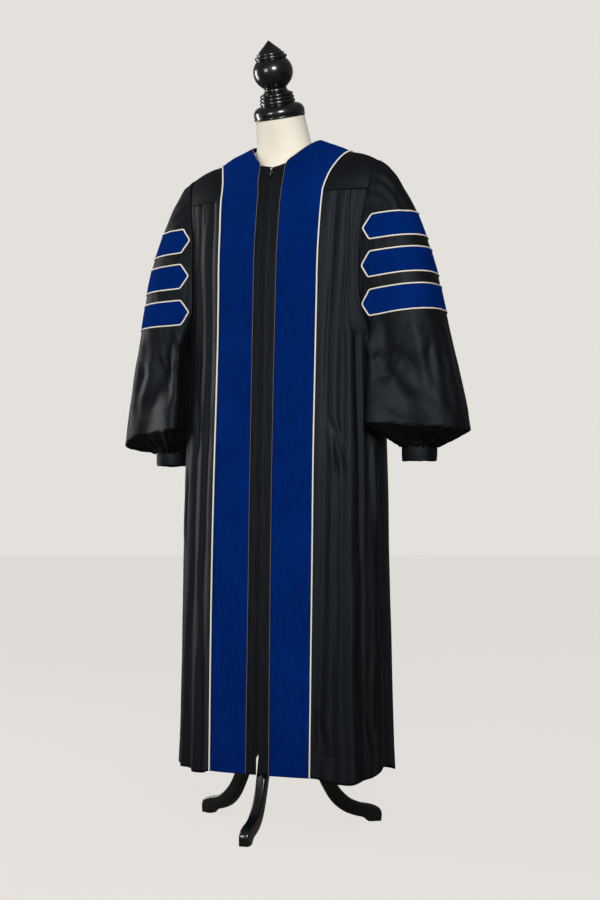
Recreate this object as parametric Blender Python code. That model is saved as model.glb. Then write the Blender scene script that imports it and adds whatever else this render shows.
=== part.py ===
"""Doctoral graduation gown worn by a limbless dress form.

Metres, +Z up, the gown's front faces -Y, the wearer's left is +X.
Every cloth piece is a thin closed wall lofted through sections; what is sewn
on top of a panel is made from that panel's own points, moved outwards.
"""
import math

import bmesh
import bpy
from mathutils import Matrix, Vector

for old in list(bpy.data.objects):
    bpy.data.objects.remove(old, do_unlink=True)

# ---------------------------------------------------------------- sizes
HEM_Z = 0.130              # hem above the floor
YOKE_Z = 1.400             # front yoke seam
BACK_YOKE_Z = 1.370        # back yoke seam
UNDERARM_Z = 1.080
ORIGIN_BACK = 0.0341       # how far everything moves back to centre its footprint
CLOTH = 0.0015             # black cloth wall
VELVET = 0.0022            # velvet facing wall
SEAM_GAP = 0.0003
LIFT = 0.0004              # air under anything sewn on top
PIPING_R = 0.0017
CHAIN_HALF = 0.0026        # zip chain, half width
ZIP_OPEN_Z = 0.180         # zip ends here; the slit runs down to the hem
FRONT_FLUTES = 4
BACK_FLUTES = 8
FRONT_KEPT = 0.30          # share of the front's columns that run straight past the armhole
BACK_KEPT = 0.50

# ring sizes of the gown's body, from the hem up
#        z      half_width front_depth back_depth squareness flute_depth
BODY = [
    (0.130, 0.247, 0.1265, 0.150, 2.6, 0.0085),
    (0.180, 0.2455, 0.1255, 0.148, 2.6, 0.0085),
    (0.370, 0.2415, 0.1215, 0.143, 2.6, 0.0075),
    (0.579, 0.2395, 0.1165, 0.138, 2.5, 0.0068),
    (0.800, 0.2395, 0.1105, 0.134, 2.3, 0.0058),
    (0.949, 0.2385, 0.1050, 0.130, 2.1, 0.0050),
    (1.080, 0.236, 0.1000, 0.120, 2.0, 0.0042),
    (1.150, 0.244, 0.0970, 0.115, 1.95, 0.0038),
    (1.270, 0.260, 0.0910, 0.110, 1.9, 0.0030),
    (1.340, 0.258, 0.0820, 0.103, 1.95, 0.0022),
    (1.370, 0.257, 0.0775, 0.098, 2.0, 0.0018),
    (1.400, 0.256, 0.0720, 0.090, 2.0, 0.0015),
]
ROWS = [0.130, 0.180, 0.300, 0.440, 0.579, 0.720, 0.850, 0.970,
        1.080, 1.150, 1.215, 1.275, 1.340, 1.400]
BACK_ROWS = [0.130, 0.180, 0.330, 0.500, 0.670, 0.830, 0.960,
             1.080, 1.150, 1.215, 1.290, 1.370]

# armhole edge on the body, half width at each height
#        z      front_x  back_x
ARMHOLE = [
    (1.080, 0.2360, 0.2360),
    (1.150, 0.2090, 0.2060),
    (1.215, 0.2060, 0.2030),
    (1.275, 0.2065, 0.2040),
    (1.340, 0.2125, 0.2120),
    (1.370, 0.2175, 0.2200),
    (1.400, 0.2220, 0.2250),
]

# front facing edges
#        z      inner_x  outer_x
FACING = [
    (0.130, 0.0280, 0.1190),
    (0.579, 0.0270, 0.1200),
    (0.949, 0.0270, 0.1185),
    (1.150, 0.0275, 0.1190),
    (1.275, 0.0280, 0.1205),
    (1.340, 0.0282, 0.1220),
    (1.400, 0.0285, 0.1245),
]

# stations of the yoke from the front seam, over the shoulder, to the back
#  neckline x, y, z          facing edge x, y, z        outer edge x, y, z
YOKE = [
    (None, None, None),
    ((0.0315, -0.0640, 1.437), (0.1278, -0.0510, 1.425), (0.2245, -0.0310, 1.418)),
    ((0.0330, -0.0520, 1.472), (0.1330, -0.0390, 1.447), (0.2270, -0.0255, 1.433)),
    ((0.0500, -0.0370, 1.492), (0.1420, -0.0230, 1.470), (0.2295, -0.0190, 1.446)),
    ((0.0685, -0.0165, 1.513), (0.1510, -0.0070, 1.487), (0.2315, -0.0110, 1.457)),
    ((0.0820, 0.0060, 1.527), (0.1606, 0.0100, 1.4957), (0.2335, 0.0010, 1.4665)),
    ((0.0800, 0.0320, 1.533), (0.1600, 0.0400, 1.486), (0.2315, 0.0200, 1.4560)),
    ((0.0640, 0.0560, 1.529), (0.1400, 0.0690, 1.463), (0.2280, 0.0370, 1.4180)),
    ((0.0540, 0.0630, 1.527), (0.1220, 0.0780, 1.454), None),
    ((0.0430, 0.0685, 1.525), (0.0980, 0.0860, 1.444), None),
    ((0.0320, 0.0720, 1.5235), (0.0740, 0.0905, 1.4365), None),
    ((0.0210, 0.0742, 1.522), (0.0490, 0.0930, 1.431), None),
    ((0.0105, 0.0752, 1.5212), (0.0245, 0.0942, 1.4275), None),
    ((0.0000, 0.0755, 1.521), (0.0000, 0.0945, 1.426), None),
]
BACK_CORNER = 8            # from this station on the yoke ends on the back seam

# sleeve: outer fold and inner fold, from the armhole down
#      along outer_x outer_z inner_x inner_z front  back   y_middle
SLEEVE = [
    (0.00, 0.2335, 1.4665, 0.2400, 1.0780, 0.054, 0.052, 0.002),
    (0.06, 0.2580, 1.4480, 0.2430, 1.0700, 0.058, 0.060, 0.003),
    (0.14, 0.2870, 1.4060, 0.2450, 1.0600, 0.064, 0.068, 0.005),
    (0.22, 0.3140, 1.3480, 0.2460, 1.0480, 0.069, 0.075, 0.008),
    (0.34, 0.3390, 1.2760, 0.2465, 1.0300, 0.073, 0.080, 0.010),
    (0.48, 0.3580, 1.1900, 0.2465, 1.0060, 0.076, 0.083, 0.012),
    (0.62, 0.3740, 1.1100, 0.2460, 0.9790, 0.077, 0.084, 0.014),
    (0.76, 0.3920, 1.0260, 0.2455, 0.9500, 0.077, 0.084, 0.016),
    (0.90, 0.4120, 0.9380, 0.2450, 0.9150, 0.076, 0.082, 0.018),
    (1.00, 0.4240, 0.8700, 0.2450, 0.8860, 0.074, 0.080, 0.020),
]
# the sleeve's fullness hangs forward, in front of the gown's side: middle and half
# width in degrees round from the outer fold, how far inwards and forwards, and the
# stations between which it grows and dies away again
LOBES = [
    (140.0, 55.0, 0.026, 0.055, 0.60, 1.00, 9.0, 9.5),
    (150.0, 38.0, 0.016, 0.036, 0.12, 0.34, 0.62, 1.00),
]
FOLDS_FROM = 0.62
SETTLE_BY = 0.48           # by here the sleeve's rings have left the armhole's shape
SLEEVE_STAND_OFF = 0.0011  # seam between armhole and sleeve
SLEEVE_SPACING = 0.062
# the sleeve's end turns under and is gathered to the cuff
#            share_of_ring  drop
TURN_UNDER = [(0.955, 0.014), (0.78, 0.030), (0.55, 0.040), (None, 0.036)]
CUFF_X, CUFF_Y = 0.312, 0.030
CUFF_R = 0.0375
CUFF_TOP, CUFF_BOTTOM = 0.846, 0.805

BAR_LEVELS = (1.3150, 1.2320, 1.1490)
BAR_HALF_HEIGHT = 0.027
BAR_TAPER = 0.018
BAR_TIP_X = 0.2175         # front and back tip of each bar
BAR_WALL = 0.0020
BAR_LIFT = 0.0006
BAR_WELD = 0.0006          # points closer than this are one point

# form: rings of the torso and neck, from the flat base up; where two widths are
# given the ring is a neck joined to a pair of shoulders
#       y_middle  z     half_width front  back   tilt_deg  neck_width neck_depth
TORSO = [
    (0.006, 0.800, 0.150, 0.080, 0.086, 0.0, 0.0, 0.0),
    (0.006, 0.806, 0.158, 0.085, 0.091, 0.0, 0.0, 0.0),
    (0.006, 0.860, 0.166, 0.090, 0.096, 0.0, 0.0, 0.0),
    (0.006, 0.930, 0.163, 0.087, 0.094, 0.0, 0.0, 0.0),
    (0.006, 1.010, 0.139, 0.076, 0.084, 0.0, 0.0, 0.0),
    (0.006, 1.070, 0.130, 0.073, 0.078, 0.0, 0.0, 0.0),
    (0.006, 1.150, 0.144, 0.079, 0.083, 0.0, 0.0, 0.0),
    (0.006, 1.220, 0.163, 0.082, 0.088, 0.0, 0.0, 0.0),
    (0.006, 1.290, 0.174, 0.076, 0.086, 0.0, 0.0, 0.0),
    (0.007, 1.350, 0.184, 0.066, 0.080, 0.0, 0.0, 0.0),
    (0.008, 1.400, 0.195, 0.057, 0.070, 0.0, 0.0, 0.0),
    (0.009, 1.430, 0.203, 0.048, 0.060, 0.0, 0.090, 0.056),
    (0.010, 1.450, 0.205, 0.040, 0.050, 0.0, 0.085, 0.057),
    (0.010, 1.463, 0.204, 0.035, 0.043, 0.0, 0.080, 0.056),
    (0.010, 1.475, 0.192, 0.030, 0.036, 0.0, 0.076, 0.055),
    (0.009, 1.487, 0.163, 0.025, 0.031, 1.0, 0.072, 0.054),
    (0.008, 1.498, 0.135, 0.022, 0.028, 3.0, 0.069, 0.053),
    (0.005, 1.511, 0.090, 0.016, 0.020, 6.0, 0.067, 0.052),
    (0.000, 1.525, 0.0655, 0.020, 0.020, 11.0, 0.0655, 0.053),
    (-0.008, 1.548, 0.0595, 0.054, 0.054, 17.0, 0.0, 0.0),
    (-0.0140, 1.566, 0.0570, 0.055, 0.055, 19.0, 0.0, 0.0),
    (-0.0207, 1.5848, 0.0560, 0.056, 0.056, 20.0, 0.0, 0.0),
]
NECK_TILT = 20.0
CAP_Y, CAP_Z = -0.0210, 1.5855
# turned cap, profile from its base along its own axis:  height, radius
CAP = [
    (0.0000, 0.0545), (0.0023, 0.0568), (0.0092, 0.0578), (0.0166, 0.0565),
    (0.0231, 0.0520), (0.0273, 0.0450), (0.0286, 0.0385), (0.0310, 0.0395),
    (0.0342, 0.0400), (0.0371, 0.0390), (0.0381, 0.0368), (0.0392, 0.0382),
    (0.0420, 0.0390), (0.0448, 0.0380), (0.0457, 0.0355), (0.0469, 0.0368),
    (0.0499, 0.0375), (0.0527, 0.0360), (0.0545, 0.0310), (0.0591, 0.0262),
    (0.0647, 0.0250), (0.0702, 0.0305), (0.0785, 0.0380), (0.0887, 0.0430),
    (0.0998, 0.0447), (0.1109, 0.0432), (0.1201, 0.0390), (0.1261, 0.0345),
    (0.1280, 0.0330), (0.1294, 0.0355), (0.1331, 0.0362), (0.1358, 0.0345),
    (0.1368, 0.0300), (0.1386, 0.0310), (0.1414, 0.0305), (0.1428, 0.0270),
    (0.1478, 0.0235), (0.1571, 0.0135), (0.1654, 0.0050), (0.1700, 0.0),
]

STAND_X, STAND_Y = -0.020, 0.004   # the pole stands a little off the gown's middle
POLE_R = 0.0125
HUB_R = 0.030
LEG_TURN = 10.5            # first leg, degrees from the front towards +X
LEG_BOARD = 0.022
# leg outline in its own plane:  reach, height
LEG_TOP = [(0.0325, 0.262), (0.060, 0.248), (0.084, 0.215), (0.104, 0.168),
           (0.121, 0.120), (0.141, 0.082), (0.166, 0.056), (0.192, 0.043),
           (0.218, 0.0375), (0.236, 0.030), (0.243, 0.018), (0.242, 0.000)]
LEG_UNDER = [(0.212, 0.000), (0.200, 0.009), (0.178, 0.015), (0.152, 0.026),
             (0.127, 0.048), (0.105, 0.084), (0.086, 0.122), (0.064, 0.150),
             (0.0325, 0.168)]


# ---------------------------------------------------------------- materials
def linear(value):
    return value / 12.92 if value <= 0.04045 else ((value + 0.055) / 1.055) ** 2.4


def material(name, hex_colour, roughness, metallic=0.0):
    mat = bpy.data.materials.new(name)
    mat.use_nodes = True
    rgb = [linear(int(hex_colour[i:i + 2], 16) / 255) for i in (0, 2, 4)]
    shader = mat.node_tree.nodes["Principled BSDF"]
    shader.inputs["Base Color"].default_value = (*rgb, 1.0)
    shader.inputs["Roughness"].default_value = roughness
    shader.inputs["Metallic"].default_value = metallic
    return mat


BLACK_CLOTH = ("1d2023", 0.72)
BLUE_VELVET = ("0c2a6b", 0.9)
CREAM_CORD = ("e9e2cf", 0.6)
CREAM_JERSEY = ("ede5d6", 0.8)
BLACK_LACQUER = ("141414", 0.18)
ZIP_BLACK = ("17181a", 0.45)
PULL_METAL = ("55585c", 0.35)


# ---------------------------------------------------------------- helpers
def table(rows, key, column):
    """Straight-line value of one column of a table sorted by its first column."""
    if key <= rows[0][0]:
        return rows[0][column]
    for low, high in zip(rows, rows[1:]):
        if key <= high[0]:
            share = (key - low[0]) / (high[0] - low[0])
            return low[column] + (high[column] - low[column]) * share
    return rows[-1][column]


def add_object(name, bm, look, metallic=0.0, place=None):
    bmesh.ops.recalc_face_normals(bm, faces=bm.faces[:])
    mesh = bpy.data.meshes.new(name)
    bm.to_mesh(mesh)
    bm.free()
    mesh.materials.append(material(name + "_mat", look[0], look[1], metallic))
    obj = bpy.data.objects.new(name, mesh)
    bpy.context.collection.objects.link(obj)
    if place is not None:
        obj.matrix_world = place
    return obj


def mirrored(grid):
    return [[Vector((-p.x, p.y, p.z)) for p in row] for row in grid]


def grid_normals(grid, closed=False):
    """Unit normals at the points of a grid, pointing away from the wearer."""
    rows, cols = len(grid), len(grid[0])
    out = []
    for r in range(rows):
        line = []
        for c in range(cols):
            up = grid[min(r + 1, rows - 1)][c] - grid[max(r - 1, 0)][c]
            if closed:
                along = grid[r][(c + 1) % cols] - grid[r][c - 1]
            else:
                along = grid[r][min(c + 1, cols - 1)] - grid[r][max(c - 1, 0)]
            n = along.cross(up)
            line.append(n.normalized() if n.length > 1e-12 else Vector((0, 0, 1)))
        out.append(line)
    return out


def trim(grid, first=0.0, last=0.0, bottom=0.0, top=0.0):
    """Pull the outer rows and columns of a grid in along the surface."""
    g = [[p.copy() for p in row] for row in grid]

    def pull(p, q, gap):
        return p + (q - p).normalized() * gap

    for r, row in enumerate(grid):
        if first:
            g[r][0] = pull(row[0], row[1], first)
        if last:
            g[r][-1] = pull(row[-1], row[-2], last)
    if bottom:
        g[0] = [pull(g[0][c], g[1][c], bottom) for c in range(len(g[0]))]
    if top:
        g[-1] = [pull(g[-1][c], g[-2][c], top) for c in range(len(g[0]))]
    return g


def wall(name, grid, look, inner, outer, normals=None, closed=False, flip=1.0, swap_from=None):
    """A closed thin wall over a grid of points, between two offsets of it.

    From the row swap_from on, the quads are split along their other diagonal.
    """
    normals = normals or grid_normals(grid, closed)
    rows, cols = len(grid), len(grid[0])
    bm = bmesh.new()
    face_out = [[bm.verts.new(grid[r][c] + normals[r][c] * (flip * outer))
                 for c in range(cols)] for r in range(rows)]
    face_in = [[bm.verts.new(grid[r][c] + normals[r][c] * (flip * inner))
                for c in range(cols)] for r in range(rows)]
    last = cols if closed else cols - 1
    for layer in (face_out, face_in):
        for r in range(rows - 1):
            for c in range(last):
                d = (c + 1) % cols
                if swap_from is not None and r >= swap_from:
                    bm.faces.new((layer[r][c], layer[r][d], layer[r + 1][c]))
                    bm.faces.new((layer[r][d], layer[r + 1][d], layer[r + 1][c]))
                else:
                    bm.faces.new((layer[r][c], layer[r][d], layer[r + 1][d]))
                    bm.faces.new((layer[r][c], layer[r + 1][d], layer[r + 1][c]))
    rims = []
    for c in range(last):
        d = (c + 1) % cols
        rims.append((0, c, 0, d))
        rims.append((rows - 1, c, rows - 1, d))
    if not closed:
        for r in range(rows - 1):
            rims.append((r, 0, r + 1, 0))
            rims.append((r, cols - 1, r + 1, cols - 1))
    for r0, c0, r1, c1 in rims:
        bm.faces.new((face_out[r0][c0], face_out[r1][c1], face_in[r1][c1]))
        bm.faces.new((face_out[r0][c0], face_in[r1][c1], face_in[r0][c0]))
    return add_object(name, bm, look)


def tube(name, path, radius, look, sides=6, closed=False, up=None):
    """A round cord along a path of points; up gives each point's outward way."""
    bm = bmesh.new()
    rings = []
    count = len(path)
    for i, p in enumerate(path):
        if closed:
            way = path[(i + 1) % count] - path[i - 1]
        else:
            way = path[min(i + 1, count - 1)] - path[max(i - 1, 0)]
        way.normalize()
        side = way.cross(up[i]).normalized()
        high = side.cross(way).normalized()
        rings.append([bm.verts.new(p + side * (radius * math.cos(a)) + high * (radius * math.sin(a)))
                      for a in (2 * math.pi * k / sides for k in range(sides))])
    spans = count if closed else count - 1
    for i in range(spans):
        j = (i + 1) % count
        for k in range(sides):
            m = (k + 1) % sides
            bm.faces.new((rings[i][k], rings[i][m], rings[j][m]))
            bm.faces.new((rings[i][k], rings[j][m], rings[j][k]))
    if not closed:
        bm.faces.new(rings[0])
        bm.faces.new(rings[-1])
    return add_object(name, bm, look)


# ---------------------------------------------------------------- gown body
def body_point(turn, z, fold=0.0):
    """Point on the gown's ring at height z; turn is 0 at the front, 90 at the side."""
    half, front, back = (table(BODY, z, k) for k in (1, 2, 3))
    power = 2.0 / table(BODY, z, 4)
    a = math.radians(turn)
    s, c = math.sin(a), math.cos(a)
    x = half * abs(s) ** power * (1 if s >= 0 else -1)
    y = (-front if c > 0 else back) * abs(c) ** power
    p = Vector((x, y, z))
    if fold:
        inward = Vector((-x / half ** 2, -y / (front if c > 0 else back) ** 2, 0)).normalized()
        p += inward * fold
    return p


def turn_at(x, z):
    """Turn of the front ring at height z where its half width is x."""
    half = table(BODY, z, 1)
    squareness = table(BODY, z, 4)
    return math.degrees(math.asin(min(1.0, x / half) ** (squareness / 2)))


def squeezed(start, full_end, end, u, kept):
    """Turn of a column: as on the full ring up to the kept share, then squeezed to end."""
    full = start + (full_end - start) * u
    if abs(end - full_end) < 1e-9 or u <= kept:
        return full, 1.0
    hold = start + (full_end - start) * kept
    return hold + (end - hold) * (u - kept) / (1 - kept), (end - hold) / (full_end - hold)


def front_grid():
    """Front panel from the facing's inner edge to the side seam or armhole."""
    grid = []
    cloth_cols = 4 * FRONT_FLUTES
    for z in ROWS:
        inner, outer = table(FACING, z, 1), table(FACING, z, 2)
        depth = table(BODY, z, 5)
        line = [body_point(turn_at(inner + (outer - inner) * k / 3, z), z) for k in range(3)]
        start = turn_at(outer, z)
        end = turn_at(table(ARMHOLE, z, 1), z) if z > UNDERARM_Z else 90.0
        for k in range(cloth_cols + 1):
            u = k / cloth_cols
            fold = depth * (1 - math.cos(2 * math.pi * FRONT_FLUTES * u))
            if u > 0.5:                      # the flutes flatten towards the side seam
                fold *= 1.0 - 0.6 * (u - 0.5)
            turn, squeeze = squeezed(start, 90.0, end, u, FRONT_KEPT)
            line.append(body_point(turn, z, fold * squeeze))
        grid.append(line)
    return grid


def back_grid():
    """Back panel from the wearer's left side seam round to the right one."""
    grid = []
    cols = 4 * BACK_FLUTES
    for z in BACK_ROWS:
        depth = table(BODY, z, 5)
        start = 180.0 - turn_at(table(ARMHOLE, z, 2), z) if z > UNDERARM_Z else 90.0
        line = []
        for k in range(cols + 1):
            u = k / cols
            fold = depth * (1 - math.cos(2 * math.pi * BACK_FLUTES * u))
            v = abs(2 * u - 1)               # 0 in the middle of the back, 1 at the sides
            turn, squeeze = squeezed(180.0, 90.0, start, v, BACK_KEPT)
            if u > 0.5:
                turn = 360.0 - turn
            line.append(body_point(turn, z, fold * squeeze))
        grid.append(line)
    return grid


def blend(p, q, share):
    return p + (q - p) * share


def yoke_grid(front, back):
    """Half yoke: rows from the front seam to the back, columns neckline to outer edge."""
    grid = []
    left_back = back[-1]
    middle = len(left_back) // 2
    for k, (neck, facing, outer) in enumerate(YOKE):
        if k == 0:
            a, b, c = front[-1][0], front[-1][3], front[-1][-1]
        else:
            a, b = Vector(neck), Vector(facing)
            if outer is not None:
                c = Vector(outer)
            else:                            # along the back seam to the middle
                share = (k - BACK_CORNER) / (len(YOKE) - 1 - BACK_CORNER)
                c = left_back[round(middle * share)]
        cols = [blend(a, b, s / 3) for s in range(3)] + [blend(b, c, s / 3) for s in range(4)]
        grid.append(cols)
    crown = 0.004
    normals = grid_normals(grid)
    for r in range(1, len(grid)):
        for s, share in ((1, 0.35), (2, 0.45), (4, 0.9), (5, 0.9)):
            fade = 0.3 if r == len(grid) - 1 else 1.0
            grid[r][s] = grid[r][s] + normals[r][s] * (crown * share * fade)
    for s in range(7):                       # the front seam's row lies on the front panel
        if s > 3:
            grid[0][s] = front_seam_point(front, s)
        elif s:
            grid[0][s] = front[-1][s].copy()
    return grid


def front_seam_point(front, s):
    row = front[-1]
    cols = len(row) - 4
    return row[3 + round(cols * (s - 3) / 3)].copy()


def ring_normal(p):
    """Level outward direction of the gown's ring at a point on it."""
    half, front, back_d = (table(BODY, p.z, k) for k in (1, 2, 3))
    return Vector((p.x / half ** 2, p.y / (front if p.y < 0 else back_d) ** 2, 0.0)).normalized()


def mirrored_normals(normals):
    return [[Vector((-v.x, v.y, v.z)) for v in row] for row in normals]


front_l = front_grid()
back = back_grid()
yoke_l = yoke_grid(front_l, back)

# pieces that share an edge share the normals along it, so their walls stay apart
facing = [row[:4] for row in front_l] + [row[:4] for row in yoke_l[1:]]
facing_n = grid_normals(facing)
front_n = grid_normals(front_l)
yoke_n = grid_normals(yoke_l)
back_n = grid_normals(back)
for r in range(len(ROWS)):
    front_n[r][:4] = [v.copy() for v in facing_n[r]]
    if ROWS[r] < UNDERARM_Z + 1e-6:
        front_n[r][-1] = Vector((1.0, 0.0, 0.0))
for r in range(1, len(yoke_l)):
    yoke_n[r][:4] = [v.copy() for v in facing_n[len(ROWS) - 1 + r]]
yoke_n[0][:4] = [v.copy() for v in facing_n[len(ROWS) - 1]]
for s in range(4, 7):
    yoke_n[0][s] = ring_normal(yoke_l[0][s])
for c in range(4, len(front_l[-1])):
    front_n[-1][c] = ring_normal(front_l[-1][c])
for r in range(len(BACK_ROWS)):
    if BACK_ROWS[r] < UNDERARM_Z + 1e-6:
        back_n[r][0], back_n[r][-1] = Vector((1.0, 0.0, 0.0)), Vector((-1.0, 0.0, 0.0))
back_n[-1] = [ring_normal(p) for p in back[-1]]
for k in range(BACK_CORNER, len(YOKE)):
    yoke_n[k][-1] = ring_normal(yoke_l[k][-1])
yoke_n[-1] = [Vector((0.0, v.y, v.z)).normalized() for v in yoke_n[-1]]
facing_n[-1] = [Vector((0.0, v.y, v.z)).normalized() for v in facing_n[-1]]

NAMES = (("left", 1.0), ("right", -1.0))


def side_of(grid, sign):
    return grid if sign > 0 else mirrored(grid)


def normals_of(normals, sign):
    return normals if sign > 0 else mirrored_normals(normals)


def lower(row, gap):
    return [Vector((p.x, p.y, p.z - gap)) for p in row]


# the black pieces -------------------------------------------------------
front_cut = [[p.copy() for p in row] for row in front_l]
back_cut = [[p.copy() for p in row] for row in back]
for r, z in enumerate(ROWS):
    if z < UNDERARM_Z + 1e-6:
        front_cut[r][-1].y -= SEAM_GAP / 2
for r, z in enumerate(BACK_ROWS):
    if z < UNDERARM_Z + 1e-6:
        back_cut[r][0].y += SEAM_GAP / 2
        back_cut[r][-1].y += SEAM_GAP / 2
front_cut[-1] = lower(front_cut[-1], SEAM_GAP)
back_cut[-1] = lower(back_cut[-1], SEAM_GAP)
for side, sign in NAMES:
    wall("gown_front_" + side, side_of(front_cut, sign), BLACK_CLOTH, -CLOTH, 0.0,
         normals=normals_of(front_n, sign))
wall("gown_back", back_cut, BLACK_CLOTH, -CLOTH, 0.0, normals=back_n)

half = [[p.copy() for p in row] for row in yoke_l]
half[0] = lower(half[0], -SEAM_GAP)
for k in range(BACK_CORNER, len(half)):
    half[k][-1].z += SEAM_GAP
middle_row = [Vector((0.0, p.y, p.z)) for p in half[-1]]
yoke = half[:-1] + [middle_row] + mirrored(half[:-1])[::-1]
yoke_both_n = yoke_n + mirrored_normals(yoke_n[:-1])[::-1]
wall("gown_yoke", yoke, BLACK_CLOTH, -CLOTH, 0.0, normals=yoke_both_n, swap_from=len(half) - 1)

# the velvet facings -----------------------------------------------------
for side, sign in NAMES:
    grid = [[p.copy() for p in row] for row in facing]
    for p in grid[-1]:
        p.x = SEAM_GAP / 2
    wall("velvet_facing_" + side, side_of(grid, sign), BLUE_VELVET, LIFT, LIFT + VELVET,
         normals=normals_of(facing_n, sign))
    # cord along the facing's outer edge
    path, up = [], []
    for r, row in enumerate(grid):
        across = (row[3] - row[2]).normalized()
        v = facing_n[r][3]
        p = row[3] + across * (PIPING_R + 0.0006) + v * (PIPING_R + 0.0009)
        if r == len(grid) - 1:
            p.x = 2 * SEAM_GAP
        path.append(Vector((sign * p.x, p.y, p.z)))
        up.append(Vector((sign * v.x, v.y, v.z)))
    tube("piping_front_" + side, path, PIPING_R, CREAM_CORD, up=up)


# placket strips either side of the zip ----------------------------------
def strip_rows(x_share, low_z):
    """Points up the front at a share of the way from the zip to the facing."""
    out = []
    for r, z in enumerate(ROWS):
        if z < low_z - 1e-6:
            continue
        edge = front_l[r][0].x
        out.append(body_point(turn_at(max(1e-5, edge * x_share), z), z))
    for k in (1, 2):
        a = yoke_l[k][0]
        drop = (0.0, 0.003, 0.0075)[k] * (1 - x_share)
        out.append(Vector((a.x * x_share, a.y - 0.0012 * (1 - x_share), a.z - drop)))
    return out


def strip_grid(x_start, low_z, full):
    grid = []
    edge = strip_rows(1.0, low_z)
    for r in range(len(edge)):
        line = []
        start = x_start / edge[r].x
        for s in ((0.0, 0.5, 1.0) if full else (0.0,)):
            share = start + (1.0 - start) * s
            line.append(strip_rows(share, low_z)[r])
        grid.append(line)
    return grid


placket = trim(strip_grid(CHAIN_HALF + SEAM_GAP, HEM_Z, True), last=SEAM_GAP)
placket_n = grid_normals(placket)
for r, row in enumerate(placket_n):
    edge = facing_n[r][0]
    row[0] = Vector((0.0, row[0].y, row[0].z)).normalized()
    row[1] = (row[0] + edge).normalized()
    row[2] = edge.copy()
for side, sign in NAMES:
    wall("placket_" + side, side_of(placket, sign), BLACK_CLOTH, -CLOTH, 0.0,
         normals=normals_of(placket_n, sign))

chain_edge = [row[0] for row in strip_grid(CHAIN_HALF, ZIP_OPEN_Z, False)]
chain = [[Vector((-p.x, p.y, p.z)), p.copy()] for p in chain_edge]
chain_n = [[Vector((0.0, v.y, v.z)).normalized() for v in row] for row in grid_normals(chain)]
wall("zip_chain", trim(chain, bottom=0.001, top=0.004), ZIP_BLACK, -0.0014, 0.0002, normals=chain_n)

# zip slider and its pull ------------------------------------------------
SLIDER_LONG, SLIDER_WIDE, SLIDER_THICK = 0.0095, 0.0070, 0.0016
top = blend(chain[-2][0], chain[-1][0], 0.78)
top.x = 0.0
down = (chain[-2][0] - chain[-1][0])
down.x = 0.0
down.normalize()
out_way = chain_n[-1][0].copy()
out_way = (out_way - down * out_way.dot(down)).normalized()
slider_frame = Matrix((
    (-1.0, 0.0, 0.0, top.x),
    (0.0, out_way.y, -down.y, top.y),
    (0.0, out_way.z, -down.z, top.z),
    (0.0, 0.0, 0.0, 1.0)))
# in this frame +X is the wearer's right, +Y points out of the cloth, +Z up the zip
PIN_OUT, PIN_R, PIN_LONG = 0.0056, 0.0006, 0.0052


def box(bm, lo, hi):
    made = bmesh.ops.create_cube(bm, size=1.0)["verts"]
    size = [h - l for l, h in zip(lo, hi)]
    mid = [(h + l) / 2 for l, h in zip(lo, hi)]
    bmesh.ops.scale(bm, vec=size, verts=made)
    bmesh.ops.translate(bm, vec=mid, verts=made)
    return made


def bracket(bm, width_lo, width_hi, outline):
    """A plate of constant outline (y, z pairs) pulled along X."""
    lo = [bm.verts.new((width_lo, y, z)) for y, z in outline]
    hi = [bm.verts.new((width_hi, y, z)) for y, z in outline]
    bm.faces.new(lo)
    bm.faces.new(hi[::-1])
    for i in range(len(outline)):
        j = (i + 1) % len(outline)
        bm.faces.new((lo[i], lo[j], hi[j], hi[i]))


bm = bmesh.new()
base, cheek = 0.0010, SLIDER_WIDE / 2
face_y = base + SLIDER_THICK
# one piece: a plate with two cheeks and the pin between them, as one outline each way
plate = [(base, -SLIDER_LONG / 2), (face_y, -SLIDER_LONG / 2), (face_y, SLIDER_LONG / 2), (base, SLIDER_LONG / 2)]
cheek_outline = [(base, -SLIDER_LONG / 2), (face_y, -SLIDER_LONG / 2), (face_y, -0.0016),
                 (PIN_OUT + PIN_R, -0.0010), (PIN_OUT + PIN_R, 0.0010), (face_y, 0.0016),
                 (face_y, SLIDER_LONG / 2), (base, SLIDER_LONG / 2)]
pin_outline = [(PIN_OUT + PIN_R * math.cos(a), PIN_R * math.sin(a))
               for a in (2 * math.pi * k / 8 for k in range(8))]
bracket(bm, -cheek, cheek, plate)
slider_plate = add_object("zip_slider", bm, ZIP_BLACK, 0.6, slider_frame)
for n, (lo, hi) in enumerate(((-cheek + 0.0003, -PIN_LONG / 2), (PIN_LONG / 2, cheek - 0.0003))):
    bm = bmesh.new()
    bracket(bm, lo, hi, [(face_y - 0.0006, -0.0024), (face_y + 0.0002, -0.0024), (PIN_OUT + 0.0011, -0.0009),
                         (PIN_OUT + 0.0011, 0.0009), (face_y + 0.0002, 0.0024), (face_y - 0.0006, 0.0024)])
    tool = add_object("slider_cheek_%d" % n, bm, ZIP_BLACK, 0.6, slider_frame)
    tool.hide_render = True
    tool.display_type = "WIRE"
    mod = slider_plate.modifiers.new("cheek_%d" % n, "BOOLEAN")
    mod.operation = "UNION"
    mod.solver = "EXACT"
    mod.object = tool
bm = bmesh.new()
bracket(bm, -PIN_LONG / 2 - 0.0004, PIN_LONG / 2 + 0.0004, pin_outline)
tool = add_object("slider_pin", bm, ZIP_BLACK, 0.6, slider_frame)
tool.hide_render = True
tool.display_type = "WIRE"
mod = slider_plate.modifiers.new("pin", "BOOLEAN")
mod.operation = "UNION"
mod.solver = "EXACT"
mod.object = tool

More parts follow.
